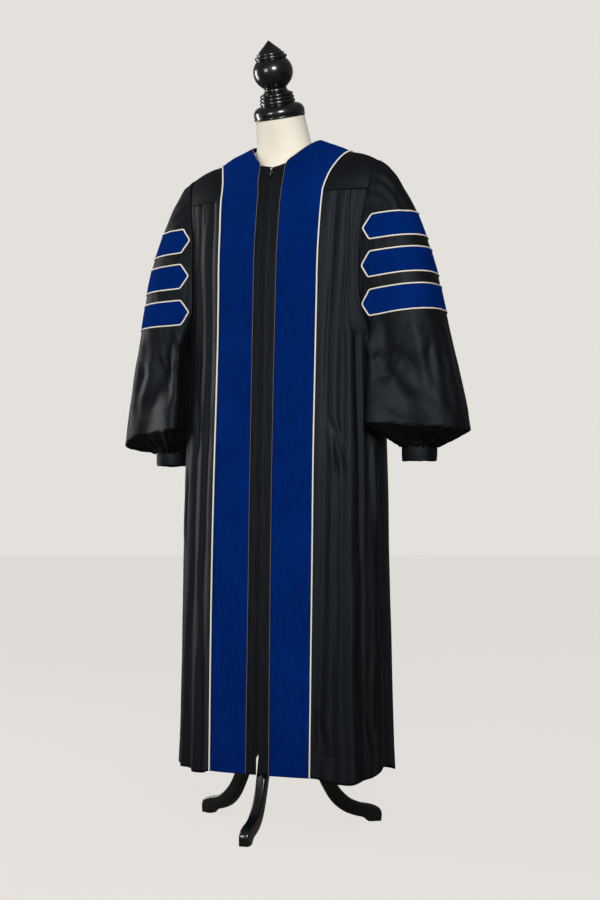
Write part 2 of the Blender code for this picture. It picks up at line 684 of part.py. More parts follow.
# pull tab: a flat tag with an eye round the pin; its origin is on the pin's axis
TAB_WIDE, TAB_LONG, TAB_THICK = 0.0044, 0.0190, 0.0013
EYE_IN, EYE_OUT = 0.0010, 0.0021
tab_frame = slider_frame @ Matrix.Translation((0.0, PIN_OUT, 0.0))
bm = bmesh.new()
eye_out = [(EYE_OUT * math.cos(math.radians(a)), EYE_OUT * math.sin(math.radians(a)))
           for a in (-18, 15, 60, 105, 150, 198)]
tag = [(-TAB_THICK / 2, -EYE_OUT - 0.0010), (-TAB_THICK / 2, -TAB_LONG), (TAB_THICK / 2, -TAB_LONG),
       (TAB_THICK / 2, -EYE_OUT - 0.0010)]
bracket(bm, -TAB_WIDE / 2, TAB_WIDE / 2, eye_out + tag)
tab = add_object("zip_pull", bm, PULL_METAL, 0.8, tab_frame)
bm = bmesh.new()
bracket(bm, -TAB_WIDE, TAB_WIDE, [(EYE_IN * math.cos(a), EYE_IN * math.sin(a))
                                  for a in (2 * math.pi * k / 10 for k in range(10))])
tool = add_object("pull_eye", bm, PULL_METAL, 0.8, tab_frame)
tool.hide_render = True
tool.display_type = "WIRE"
mod = tab.modifiers.new("eye", "BOOLEAN")
mod.operation = "DIFFERENCE"
mod.solver = "EXACT"
mod.object = tool


# ---------------------------------------------------------------- sleeves
def armhole_loop():
    """The body's armhole edge as one closed run of points, shoulder to front and round."""
    over = [yoke_l[k][-1] for k in range(5, -1, -1)]                    # shoulder to front corner
    front_edge = [front_l[r][-1] for r in range(len(ROWS) - 2, 0, -1) if ROWS[r] > UNDERARM_Z + 1e-6]
    under = [front_l[ROWS.index(UNDERARM_Z)][-1]]
    back_edge = [back[r][0] for r in range(len(BACK_ROWS)) if BACK_ROWS[r] > UNDERARM_Z + 1e-6]
    over_back = [yoke_l[k][-1] for k in (7, 6)]
    run = over + front_edge + under + back_edge + over_back
    loop = []
    for p, q in zip(run, run[1:] + run[:1]):
        loop.append(p.copy())
        if (q - p).length > SLEEVE_SPACING:  # a point halfway along the longer steps
            loop.append((p + q) / 2)
    return loop


def sleeve_grid():
    loop = armhole_loop()
    top_z, low_z = SLEEVE[0][2], SLEEVE[0][4]
    mid_z, tall = (top_z + low_z) / 2, (top_z - low_z) / 2
    angles = []
    for p in loop:
        angles.append(math.atan2(-(p.y - 0.002) / 0.052, (p.z - mid_z) / tall))
    # even the angles a little so that lower rings have no bunched columns
    count = len(loop)
    first = [a if a > -1e-3 else a + 2 * math.pi for a in angles]
    first[0] = 0.0
    grid = []
    stations = []
    for i, station in enumerate(SLEEVE):
        s, ox, oz, ix, iz, front_d, back_d, y_mid = station
        stations.append(s)
        outer, inner = Vector((ox, y_mid, oz)), Vector((ix, y_mid, iz))
        centre, arm = (outer + inner) / 2, (outer - inner) / 2
        settle = min(1.0, s / SETTLE_BY)
        settle = settle * settle * (3 - 2 * settle)
        line = []
        for k in range(count):
            even = 2 * math.pi * k / count
            a = first[k] + (even - first[k]) * settle
            c, f = math.cos(a), math.sin(a)
            depth = front_d if f > 0 else back_d
            p = centre + arm * (abs(c) ** 0.9 * (1 if c > 0 else -1))
            p.y -= depth * abs(f) ** 0.9 * (1 if f > 0 else -1)
            if i == 0:
                p = loop[k] + Vector((SLEEVE_STAND_OFF, 0.0, 0.0))
            elif s < SETTLE_BY:
                shift = loop[k] - ring_zero(k, first)
                p += shift * (1 - settle)
                p.x = max(p.x, loop[k].x + 0.0025)
            for turn, wide, inwards, forwards, start, full, keep, end in LOBES:
                grown = min(1.0, max(0.0, (s - start) / (full - start)), max(0.0, (end - s) / (end - keep)))
                off = min(1.0, abs(math.degrees(a) - turn) / wide)
                lobe = grown * math.cos(math.radians(90 * off)) ** 2
                p.x -= inwards * lobe
                p.y -= forwards * lobe
            fold = sleeve_fold(k, count, s)
            if fold:
                way = (p - centre)
                way = way.normalized() if way.length else way
                p -= way * fold
            line.append(p)
        grid.append(line)
    base = grid[-1]
    hub = Vector((CUFF_X, CUFF_Y, 0.0))
    for step, (share, drop) in enumerate(TURN_UNDER):
        line = []
        for k, p in enumerate(base):
            flat = Vector((p.x, p.y, 0.0)) - hub
            gather = 0.006 if k % 2 else 0.0
            if share is None:
                q = hub + flat.normalized() * (CUFF_R + 0.0048 + (0.003 if k % 2 else 0.0))
            else:
                reach = max(flat.length * share, CUFF_R + 0.011)
                q = hub + flat.normalized() * reach
            lift = gather if 0 < step < 3 else 0.0
            level = p.z * (1 - step / 3) + 0.872 * (step / 3)
            q.z = level - drop + lift
            line.append(q)
        grid.append(line)
    return grid


def ring_zero(k, first):
    s, ox, oz, ix, iz, front_d, back_d, y_mid = SLEEVE[0]
    outer, inner = Vector((ox, y_mid, oz)), Vector((ix, y_mid, iz))
    centre, arm = (outer + inner) / 2, (outer - inner) / 2
    c, f = math.cos(first[k]), math.sin(first[k])
    p = centre + arm * (abs(c) ** 0.9 * (1 if c > 0 else -1))
    p.y -= (front_d if f > 0 else back_d) * abs(f) ** 0.9 * (1 if f > 0 else -1)
    return p


def sleeve_fold(k, count, s):
    """How far a point sits in a fold: gathers under the shoulder, long folds below."""
    near_top = min(k, count - k)
    fold = 0.0
    if 0.04 < s < 0.20 and near_top <= 5 and k % 2:
        fold += 0.005 * (1 - s / 0.22)
    if s > FOLDS_FROM:
        share = (s - FOLDS_FROM) / (1 - FOLDS_FROM)
        if k % 4 == 2:
            fold += 0.010 * share
        elif k % 2:
            fold += 0.004 * share
    return fold


sleeve_l = sleeve_grid()
for side, sign in NAMES:
    wall("sleeve_" + side, side_of(sleeve_l, sign), BLACK_CLOTH, -CLOTH, 0.0, closed=True, flip=sign)

CUFF_SIDES = 14
cuff = []
for z, grow in ((CUFF_TOP, 0.0), (CUFF_TOP - 0.012, 0.0008), (CUFF_BOTTOM + 0.010, 0.0005), (CUFF_BOTTOM, 0.0)):
    cuff.append([Vector((CUFF_X + (CUFF_R + grow) * math.sin(2 * math.pi * k / CUFF_SIDES),
                         CUFF_Y - (CUFF_R + grow) * math.cos(2 * math.pi * k / CUFF_SIDES), z))
                 for k in range(CUFF_SIDES)])
for side, sign in NAMES:
    wall("cuff_" + side, side_of(cuff, sign), BLACK_CLOTH, -0.0018, 0.0, closed=True, flip=-sign)


# sleeve bars ------------------------------------------------------------
def bar_surface(level):
    """The part of the sleeve's surface under one bar: a band cut level, with pointed ends."""
    bm = bmesh.new()
    rows = len(SLEEVE)
    verts = [[bm.verts.new(p) for p in sleeve_l[r]] for r in range(rows)]
    count = len(sleeve_l[0])
    for r in range(rows - 1):
        for c in range(count):
            d = (c + 1) % count
            bm.faces.new((verts[r][c], verts[r][d], verts[r + 1][d]))
            bm.faces.new((verts[r][c], verts[r + 1][d], verts[r + 1][c]))
    slope = BAR_TAPER / BAR_HALF_HEIGHT
    cuts = [((0, 0, level + BAR_HALF_HEIGHT), (0, 0, 1)),
            ((0, 0, level - BAR_HALF_HEIGHT), (0, 0, -1)),
            ((BAR_TIP_X, 0, level), (-1, 0, slope)),
            ((BAR_TIP_X, 0, level), (-1, 0, -slope))]
    for spot, way in cuts:
        bmesh.ops.bisect_plane(bm, geom=bm.verts[:] + bm.edges[:] + bm.faces[:], dist=1e-7,
                               plane_co=spot, plane_no=way, clear_outer=True)
    bmesh.ops.remove_doubles(bm, verts=bm.verts[:], dist=BAR_WELD)
    bmesh.ops.dissolve_degenerate(bm, edges=bm.edges[:], dist=BAR_WELD)
    bmesh.ops.triangulate(bm, faces=bm.faces[:])
    bm.normal_update()
    middle = Vector((0.29, 0.01, level))
    if sum(f.normal.dot(f.calc_center_median() - middle) for f in bm.faces) < 0:
        bmesh.ops.reverse_faces(bm, faces=bm.faces[:])
        bm.normal_update()
    return bm


def outline_of(bm):
    """The band's edge as one closed run of vertices."""
    rim = [e for e in bm.edges if len(e.link_faces) == 1]
    after = {}
    for e in rim:
        for loop in e.link_loops:
            after[loop.vert] = loop.link_loop_next.vert
    start = next(iter(after))
    run = [start]
    while after[run[-1]] is not start:
        run.append(after[run[-1]])
    return run


def build_bar(name, surface, sign):
    bm = bmesh.new()
    layers = []
    for lift in (BAR_LIFT, BAR_LIFT + BAR_WALL):
        made = {}
        for v in surface.verts:
            p = v.co + v.normal * lift
            made[v] = bm.verts.new((sign * p.x, p.y, p.z))
        for f in surface.faces:
            bm.faces.new([made[v] for v in f.verts])
        layers.append(made)
    run = outline_of(surface)
    for v, w in zip(run, run[1:] + run[:1]):
        bm.faces.new((layers[0][v], layers[0][w], layers[1][w]))
        bm.faces.new((layers[0][v], layers[1][w], layers[1][v]))
    return add_object(name, bm, BLUE_VELVET)


def is_corner(run, v):
    i = run.index(v)
    come = (v.co - run[i - 1].co).normalized()
    go = (run[(i + 1) % len(run)].co - v.co).normalized()
    return come.dot(go) < 0.90


def build_bar_piping(name, surface, sign):
    run = outline_of(surface)
    kept = [run[0]]
    for v in run[1:]:                        # drop points that crowd a straight stretch
        gap = min((v.co - kept[-1].co).length, (v.co - run[0].co).length)
        if gap > 3.0 * PIPING_R:
            kept.append(v)
        elif is_corner(run, v):
            if len(kept) > 1 and not is_corner(run, kept[-1]):
                kept.pop()
            kept.append(v)
    run = kept
    path, ups = [], []
    for before, v, after in zip(run[-1:] + run[:-1], run, run[1:] + run[:1]):
        come = (v.co - before.co).normalized()
        go = (after.co - v.co).normalized()
        way = (come + go).normalized()
        away = way.cross(v.normal).normalized()      # outwards, along the surface
        mitre = 1.0 / max(0.55, come.dot(way))
        p = v.co + away * ((PIPING_R + 0.0016) * mitre) + v.normal * (PIPING_R + 0.0017)
        path.append(Vector((sign * p.x, p.y, p.z)))
        ups.append(Vector((sign * v.normal.x, v.normal.y, v.normal.z)))
    return tube(name, path, PIPING_R, CREAM_CORD, closed=True, up=ups, sides=5)


for number, level in enumerate(BAR_LEVELS, 1):
    surface = bar_surface(level)
    for side, sign in NAMES:
        build_bar("bar_%s_%d" % (side, number), surface, sign)
        build_bar_piping("piping_bar_%s_%d" % (side, number), surface, sign)
    surface.free()


# ---------------------------------------------------------------- dress form
def neck_reach(way, wide, deep):
    """How far the neck's ellipse reaches in a direction."""
    u = way.normalized()
    return 1.0 / math.sqrt((u.x / wide) ** 2 + (u.y / deep) ** 2)


def torso_object():
    bm = bmesh.new()
    sides = 32
    rings = []
    for y_mid, z, wide, front, back_d, tilt, neck_wide, neck_deep in TORSO:
        turn = Matrix.Rotation(math.radians(tilt), 3, "X")
        ring = []
        for k in range(sides):
            a = 2 * math.pi * k / sides
            y = -math.cos(a)
            local = Vector((wide * math.sin(a), y * (front if y < 0 else back_d), 0.0))
            if neck_wide and local.length < neck_reach(local, neck_wide, neck_deep):
                local = local.normalized() * neck_reach(local, neck_wide, neck_deep)
            ring.append(bm.verts.new(turn @ local + Vector((0.0, y_mid, z))))
        rings.append(ring)
    for low, high in zip(rings, rings[1:]):
        for k in range(sides):
            m = (k + 1) % sides
            bm.faces.new((low[k], low[m], high[m]))
            bm.faces.new((low[k], high[m], high[k]))
    bm.faces.new(rings[0])
    bm.faces.new(rings[-1])
    return add_object("form_torso", bm, CREAM_JERSEY)


torso_object()


def turned(name, profile, look, place, sides=28):
    """A turned solid: the profile (height, radius) spun about its own Z axis."""
    bm = bmesh.new()
    verts = [bm.verts.new((r, 0.0, h)) for h, r in profile]
    if profile[0][1] > 0:
        verts.insert(0, bm.verts.new((0.0, 0.0, profile[0][0])))
    if profile[-1][1] > 0:
        verts.append(bm.verts.new((0.0, 0.0, profile[-1][0])))
    edges = [bm.edges.new(pair) for pair in zip(verts, verts[1:])]
    bmesh.ops.spin(bm, geom=verts + edges, cent=(0, 0, 0), axis=(0, 0, 1), angle=2 * math.pi,
                   steps=sides, use_merge=True)
    bmesh.ops.remove_doubles(bm, verts=bm.verts[:], dist=1e-6)
    bmesh.ops.triangulate(bm, faces=bm.faces[:])
    return add_object(name, bm, look, place=place)


cap_place = (Matrix.Translation((0.0, CAP_Y, CAP_Z))
             @ Matrix.Rotation(math.radians(NECK_TILT), 4, "X"))
turned("form_cap", CAP, BLACK_LACQUER, cap_place)

pole_place = Matrix.Translation((STAND_X, STAND_Y, 0.0))
turned("stand_pole", [(0.2903, POLE_R), (0.7997, POLE_R)], BLACK_LACQUER, pole_place, sides=20)
turned("stand_hub", [(0.1450, 0.0120), (0.1480, 0.0240), (0.1560, HUB_R), (0.2760, HUB_R),
                     (0.2860, 0.0240), (0.2900, 0.0160)], BLACK_LACQUER, pole_place, sides=24)


def leg(name, turn_deg):
    """A flat-sawn curved leg, its outline pulled to the board's thickness."""
    bm = bmesh.new()
    outline = LEG_TOP + LEG_UNDER
    half_board = LEG_BOARD / 2
    near = [bm.verts.new((r, -half_board, z)) for r, z in outline]
    face = bm.faces.new(near)
    pulled = bmesh.ops.extrude_face_region(bm, geom=[face])
    moved = [v for v in pulled["geom"] if isinstance(v, bmesh.types.BMVert)]
    bmesh.ops.translate(bm, vec=(0.0, LEG_BOARD, 0.0), verts=moved)
    bmesh.ops.recalc_face_normals(bm, faces=bm.faces[:])
    rounded = [e for e in bm.edges if abs(e.verts[0].co.y - e.verts[1].co.y) < 1e-6
               and max(e.verts[0].co.x, e.verts[1].co.x) > 0.04
               and max(e.verts[0].co.z, e.verts[1].co.z) > 0.0005]
    bmesh.ops.bevel(bm, geom=rounded, offset=0.003, segments=1, profile=0.5, affect="EDGES",
                    offset_type="OFFSET", material=-1)
    bmesh.ops.triangulate(bm, faces=bm.faces[:])
    place = pole_place @ Matrix.Rotation(math.radians(turn_deg - 90.0), 4, "Z")
    return add_object(name, bm, BLACK_LACQUER, place=place)


for name, extra in (("stand_leg_front", 0.0), ("stand_leg_left", 120.0), ("stand_leg_right", 240.0)):
    leg(name, LEG_TURN + extra)

# the origin is on the floor, in the middle of the whole part's footprint
bpy.context.view_layer.update()
for obj in bpy.data.objects:
    obj.matrix_world = Matrix.Translation((0.0, ORIGIN_BACK, 0.0)) @ obj.matrix_world
bpy.context.view_layer.update()
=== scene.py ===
"""Graduation gown on a dress form: the fine cloth, cords, zip, turned form and stand.

Metres, +Z up, the gown's front faces -Y, the wearer's left is +X. Each cloth piece
is a grid laid on its solid's form, folded by listed creases and given a thickness.
"""
import math

import bmesh
import bpy
import numpy as np
from bpy.props import FloatProperty, FloatVectorProperty, PointerProperty, StringProperty
from mathutils import Matrix, Vector


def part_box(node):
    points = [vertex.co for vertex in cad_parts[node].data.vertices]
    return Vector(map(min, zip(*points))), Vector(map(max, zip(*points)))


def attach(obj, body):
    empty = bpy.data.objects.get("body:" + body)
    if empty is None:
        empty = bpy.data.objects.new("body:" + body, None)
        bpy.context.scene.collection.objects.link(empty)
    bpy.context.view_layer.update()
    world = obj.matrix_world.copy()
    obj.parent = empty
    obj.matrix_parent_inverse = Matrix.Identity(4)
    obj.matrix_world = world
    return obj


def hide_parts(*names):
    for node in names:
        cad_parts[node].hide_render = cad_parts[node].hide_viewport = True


bl_info = {
    "name": "Graduation Gown on a Dress Form",
    "version": (1, 0, 0),
    "blender": (4, 5, 0),
    "location": "View3D > Sidebar > Gown",
    "description": "Builds a doctoral gown with velvet facings, worn by a turned dress form",
    "category": "Add Mesh",
}

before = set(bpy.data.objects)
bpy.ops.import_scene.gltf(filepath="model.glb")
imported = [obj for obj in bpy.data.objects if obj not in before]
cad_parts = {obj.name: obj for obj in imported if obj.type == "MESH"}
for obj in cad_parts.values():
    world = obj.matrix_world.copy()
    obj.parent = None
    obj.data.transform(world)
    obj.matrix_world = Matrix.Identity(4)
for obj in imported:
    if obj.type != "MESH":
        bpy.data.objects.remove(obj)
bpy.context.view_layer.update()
GOWN = "gown_on_form"
SIDES = (("left", 1.0), ("right", -1.0))

# ---------------------------------------------------------------- the gown's cut
HEM_Z = 0.130
YOKE_Z = 1.400
BACK_YOKE_Z = 1.370
UNDERARM_Z = 1.080
# the garment's own middle is this far behind the frame's origin
MIDDLE_Y = sum(corner.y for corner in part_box("cuff_left")) / 2 - 0.030
HEM_FOLD_Z = 0.182         # blind-stitched edge of the turned-up hem
ZIP_OPEN_Z = 0.180
SHELL = 0.0011             # thickness the black cloth is drawn with
VELVET_HIGH = 0.0026
PIPING_R = 0.0017
EDGING_R = 0.0006
CHAIN_HALF = 0.0026
FACED = 0.16               # share of a front's columns that lie under the velvet
FRONT_KEPT, BACK_KEPT = 0.30, 0.50

#        z      half_width front_depth back_depth squareness
BODY = np.array([
    (0.130, 0.247, 0.1265, 0.150, 2.6),
    (0.180, 0.2455, 0.1255, 0.148, 2.6),
    (0.370, 0.2415, 0.1215, 0.143, 2.6),
    (0.579, 0.2395, 0.1165, 0.138, 2.5),
    (0.800, 0.2395, 0.1105, 0.134, 2.3),
    (0.949, 0.2385, 0.1050, 0.130, 2.1),
    (1.080, 0.236, 0.1000, 0.120, 2.0),
    (1.150, 0.244, 0.0970, 0.115, 1.95),
    (1.270, 0.260, 0.0910, 0.110, 1.9),
    (1.340, 0.258, 0.0820, 0.103, 1.95),
    (1.370, 0.257, 0.0775, 0.098, 2.0),
    (1.400, 0.256, 0.0720, 0.090, 2.0),
])
#        z      front_x  back_x
ARMHOLE = np.array([
    (1.080, 0.2360, 0.2360),
    (1.150, 0.2090, 0.2060),
    (1.215, 0.2060, 0.2030),
    (1.275, 0.2065, 0.2040),
    (1.340, 0.2125, 0.2120),
    (1.370, 0.2175, 0.2200),
    (1.400, 0.2220, 0.2250),
])
#        z      inner_x  outer_x
FACING = np.array([
    (0.130, 0.0280, 0.1190),
    (0.579, 0.0270, 0.1200),
    (0.949, 0.0270, 0.1185),
    (1.150, 0.0275, 0.1190),
    (1.275, 0.0280, 0.1205),
    (1.340, 0.0282, 0.1220),
    (1.400, 0.0285, 0.1245),
])
# stations of the yoke from the front seam, over the shoulder, to the back
#  neckline x, y, z          facing edge x, y, z        outer edge x, y, z
YOKE = [
    (None, None, None),
    ((0.0315, -0.0640, 1.437), (0.1278, -0.0510, 1.425), (0.2245, -0.0310, 1.418)),
    ((0.0330, -0.0520, 1.472), (0.1330, -0.0390, 1.447), (0.2270, -0.0255, 1.433)),
    ((0.0500, -0.0370, 1.492), (0.1420, -0.0230, 1.470), (0.2295, -0.0190, 1.446)),
    ((0.0685, -0.0165, 1.513), (0.1510, -0.0070, 1.487), (0.2315, -0.0110, 1.457)),
    ((0.0820, 0.0060, 1.527), (0.1606, 0.0100, 1.4957), (0.2335, 0.0010, 1.4665)),
    ((0.0800, 0.0320, 1.533), (0.1600, 0.0400, 1.486), (0.2315, 0.0200, 1.4560)),
    ((0.0640, 0.0560, 1.529), (0.1400, 0.0690, 1.463), (0.2280, 0.0370, 1.4180)),
    ((0.0540, 0.0630, 1.527), (0.1220, 0.0780, 1.454), None),
    ((0.0430, 0.0685, 1.525), (0.0980, 0.0860, 1.444), None),
    ((0.0320, 0.0720, 1.5235), (0.0740, 0.0905, 1.4365), None),
    ((0.0210, 0.0742, 1.522), (0.0490, 0.0930, 1.431), None),
    ((0.0105, 0.0752, 1.5212), (0.0245, 0.0942, 1.4275), None),
    ((0.0000, 0.0755, 1.521), (0.0000, 0.0945, 1.426), None),
]
BACK_CORNER = 8
CROWN = 0.004              # how far the yoke rounds up between its edges

# sleeve: outer fold and inner fold, from the armhole down
#      along outer_x outer_z inner_x inner_z front  back   y_middle
SLEEVE = [
    (0.00, 0.2335, 1.4665, 0.2400, 1.0780, 0.054, 0.052, 0.002),
    (0.06, 0.2580, 1.4480, 0.2430, 1.0700, 0.058, 0.060, 0.003),
    (0.14, 0.2870, 1.4060, 0.2450, 1.0600, 0.064, 0.068, 0.005),
    (0.22, 0.3140, 1.3480, 0.2460, 1.0480, 0.069, 0.075, 0.008),
    (0.34, 0.3390, 1.2760, 0.2465, 1.0300, 0.073, 0.080, 0.010),
    (0.48, 0.3580, 1.1900, 0.2465, 1.0060, 0.076, 0.083, 0.012),
    (0.62, 0.3740, 1.1100, 0.2460, 0.9790, 0.077, 0.084, 0.014),
    (0.76, 0.3920, 1.0260, 0.2455, 0.9500, 0.077, 0.084, 0.016),
    (0.90, 0.4120, 0.9380, 0.2450, 0.9150, 0.076, 0.082, 0.018),
    (1.00, 0.4240, 0.8700, 0.2450, 0.8860, 0.074, 0.080, 0.020),
]
# the sleeve's fullness hangs forward, in front of the gown's side: middle and half
# width in degrees round from the outer fold, how far inwards and forwards, and the
# stations between which it grows and dies away again
LOBES = [
    (140.0, 55.0, 0.026, 0.055, 0.60, 1.00, 9.0, 9.5),
    (150.0, 38.0, 0.016, 0.036, 0.12, 0.34, 0.62, 1.00),
]
SETTLE_BY = 0.48
SLEEVE_STAND_OFF = 0.0011
# rings inside the lower fold: share of the fold's reach from the cuff, drop, and how
# far the ring has levelled out
TURN_UNDER = [(0.985, 0.0010, 0.03), (0.950, 0.0030, 0.08), (0.78, 0.013, 0.33), (0.55, 0.026, 0.67),
              (None, 0.036, 1.0)]
SLEEVE_DROP = {"left": 0.000, "right": 0.020}   # how much lower the outer corner hangs
CUFF_X, CUFF_Y = 0.312, 0.030
CUFF_R = 0.0375
CUFF_TOP, CUFF_BOTTOM = 0.846, 0.805

BAR_LEVELS = (1.3150, 1.2320, 1.1490)
BAR_HALF_HEIGHT = 0.027
BAR_TAPER = 0.018
BAR_TIP_X = 0.2175
BAR_LIFT = 0.0008
BAR_WALL = 0.0018
BAR_TILT = {"left": 0.085, "right": -0.040}    # rise of the bars per metre outwards
BAR_TILT_X = 0.300
# the left sleeve stands out a little further than the right one
SLEEVE_FULL = {"left": 1.030, "right": 0.955}

# ---------------------------------------------------------------- the gown's folds
# long pleats of each front: where (share of the way from the velvet to the side) at
# the yoke and at the hem, half width in shares, depth inwards at the yoke, the waist
# and the hem in metres, and the heights it runs between
#   at_yoke at_hem half  yoke    waist   hem     low    high
PLEATS = {
    "left": [
        (0.150, 0.085, 0.042, 0.0037, 0.0032, 0.0062, 0.12, 1.41),
        (0.215, 0.190, 0.035, -0.0011, -0.0016, -0.0036, 0.12, 1.37),
        (0.285, 0.320, 0.045, 0.0033, 0.0027, 0.0046, 0.12, 1.41),
        (0.350, 0.455, 0.055, -0.0008, -0.0024, -0.0048, 0.12, 1.28),
        (0.440, 0.610, 0.055, 0.0046, 0.0045, 0.0050, 0.12, 1.41),
        (0.600, 0.720, 0.060, 0.0016, 0.0018, 0.0026, 0.12, 1.34),
        (0.780, 0.860, 0.075, 0.0000, -0.0035, -0.0042, 0.12, 1.06),
    ],
    "right": [
        (0.115, 0.130, 0.045, 0.0039, 0.0038, 0.0052, 0.12, 1.41),
        (0.190, 0.225, 0.040, -0.0011, -0.0016, -0.0040, 0.12, 1.36),
        (0.300, 0.335, 0.055, 0.0045, 0.0043, 0.0066, 0.12, 1.41),
        (0.420, 0.470, 0.055, -0.0008, -0.0022, -0.0046, 0.12, 1.29),
        (0.530, 0.650, 0.060, 0.0034, 0.0040, 0.0056, 0.12, 1.40),
        (0.790, 0.850, 0.075, 0.0000, -0.0024, -0.0044, 0.12, 1.05),
    ],
}
# the back's pleats fan out from its yoke seam, shares across from side to side
BACK_PLEATS = [
    (0.150, 0.125, 0.045, 0.0000, -0.0040, -0.0050, 0.12, 1.06),
    (0.245, 0.215, 0.030, 0.0040, 0.0052, 0.0090, 0.12, 1.38),
    (0.305, 0.300, 0.030, -0.0015, -0.0030, -0.0060, 0.12, 1.36),
    (0.355, 0.375, 0.024, 0.0055, 0.0060, 0.0085, 0.12, 1.38),
    (0.412, 0.440, 0.026, -0.0020, -0.0034, -0.0070, 0.12, 1.36),
    (0.457, 0.500, 0.022, 0.0060, 0.0060, 0.0095, 0.12, 1.38),
    (0.520, 0.560, 0.026, -0.0020, -0.0030, -0.0062, 0.12, 1.36),
    (0.562, 0.625, 0.024, 0.0055, 0.0064, 0.0090, 0.12, 1.38),
    (0.640, 0.700, 0.030, -0.0015, -0.0034, -0.0066, 0.12, 1.34),
    (0.705, 0.780, 0.030, 0.0045, 0.0050, 0.0086, 0.12, 1.38),
    (0.850, 0.880, 0.045, 0.0000, -0.0034, -0.0050, 0.12, 1.06),
]
# how the hem sags between the velvet and the side, and lifts at the side seam:
# middle and half width of the sag in shares, its drop, and the lift at the side
HEM_SAG = {"left": (0.36, 0.24, 0.014, 0.020), "right": (0.16, 0.16, 0.008, 0.009)}
# slanting creases of the skirt: share, z at each end, half width and depth in metres
#    share   z     share   z     half    depth
SKIRT_CREASES = {
    "left": [
        (0.150, 0.905, 0.330, 0.760, 0.011, 0.0034),
        (0.640, 0.262, 0.860, 0.150, 0.012, 0.0030),
        (0.030, 0.285, 0.200, 0.140, 0.012, 0.0026),
        (0.740, 0.860, 0.900, 0.600, 0.014, -0.0028),
        (0.520, 0.620, 0.470, 0.360, 0.018, -0.0020),
        (0.880, 0.420, 0.800, 0.200, 0.012, 0.0030),
    ],
    "right": [
        (0.350, 0.960, 0.250, 0.800, 0.012, 0.0028),
        (0.700, 0.300, 0.520, 0.160, 0.013, 0.0030),
        (0.180, 0.620, 0.240, 0.350, 0.013, 0.0026),
        (0.620, 0.820, 0.740, 0.600, 0.013, -0.0026),
    ],
}
# sleeve creases: turn round the sleeve in degrees from its outer fold towards the
# front, distance along as a share, at each end; half width in metres, depth inwards
#    turn   along  turn   along  half    depth
SLEEVE_CREASES = {
    "left": [
        (-14.0, 0.005, -12.0, 0.170, 0.0060, 0.0021),
        (-3.0, 0.005, -3.5, 0.220, 0.0055, 0.0025),
        (8.0, 0.005, 6.5, 0.190, 0.0055, 0.0022),
        (20.0, 0.005, 15.0, 0.240, 0.0060, 0.0026),
        (33.0, 0.005, 26.0, 0.200, 0.0066, 0.0023),
        (47.0, 0.005, 38.0, 0.150, 0.0066, 0.0018),
        (-27.0, 0.005, -22.0, 0.160, 0.0066, 0.0020),
        (-41.0, 0.005, -34.0, 0.130, 0.0066, 0.0015),
        (116.0, 0.560, 92.0, 0.660, 0.0135, 0.0040),
        (108.0, 0.600, 66.0, 0.860, 0.0149, 0.0037),
        (118.0, 0.660, 84.0, 0.960, 0.0149, 0.0043),
        (52.0, 0.680, 50.0, 0.900, 0.0149, 0.0034),
        (132.0, 0.450, 120.0, 0.800, 0.0162, 0.0043),
        (30.0, 0.720, 33.0, 0.980, 0.0135, 0.0028),
        (74.0, 0.550, 60.0, 0.740, 0.0175, -0.0025),
        (100.0, 0.720, 76.0, 0.990, 0.0121, -0.0022),
        (10.0, 0.620, 14.0, 0.970, 0.0162, -0.0025),
        (-40.0, 0.600, -48.0, 0.970, 0.0162, 0.0037),
        (-75.0, 0.550, -84.0, 0.960, 0.0162, 0.0040),
        (-112.0, 0.500, -120.0, 0.970, 0.0162, 0.0043),
    ],
    "right": [
        (-12.0, 0.005, -11.0, 0.180, 0.0060, 0.0022),
        (0.0, 0.005, -1.0, 0.200, 0.0055, 0.0024),
        (11.0, 0.005, 9.0, 0.240, 0.0060, 0.0025),
        (23.0, 0.005, 18.0, 0.180, 0.0055, 0.0021),
        (36.0, 0.005, 29.0, 0.220, 0.0066, 0.0024),
        (50.0, 0.005, 42.0, 0.140, 0.0066, 0.0016),
        (-26.0, 0.005, -21.0, 0.150, 0.0066, 0.0020),
        (-40.0, 0.005, -33.0, 0.130, 0.0066, 0.0015),
        (112.0, 0.500, 92.0, 0.940, 0.0162, 0.0046),
        (128.0, 0.420, 122.0, 0.880, 0.0162, 0.0043),
        (80.0, 0.660, 66.0, 0.970, 0.0149, 0.0031),
        (46.0, 0.640, 40.0, 0.980, 0.0149, 0.0031),
        (18.0, 0.600, 16.0, 0.970, 0.0162, 0.0028),
        (98.0, 0.600, 78.0, 0.900, 0.0162, -0.0022),
        (60.0, 0.560, 54.0, 0.920, 0.0175, -0.0028),
        (-36.0, 0.620, -44.0, 0.970, 0.0162, 0.0034),
        (-70.0, 0.550, -80.0, 0.960, 0.0162, 0.0040),
        (-110.0, 0.500, -118.0, 0.970, 0.0162, 0.0043),
    ],
}
CUFF_GATHERS = 17          # small pleats that draw the sleeve's end in to the cuff
CUFF_GATHER_DEPTH = 0.0042

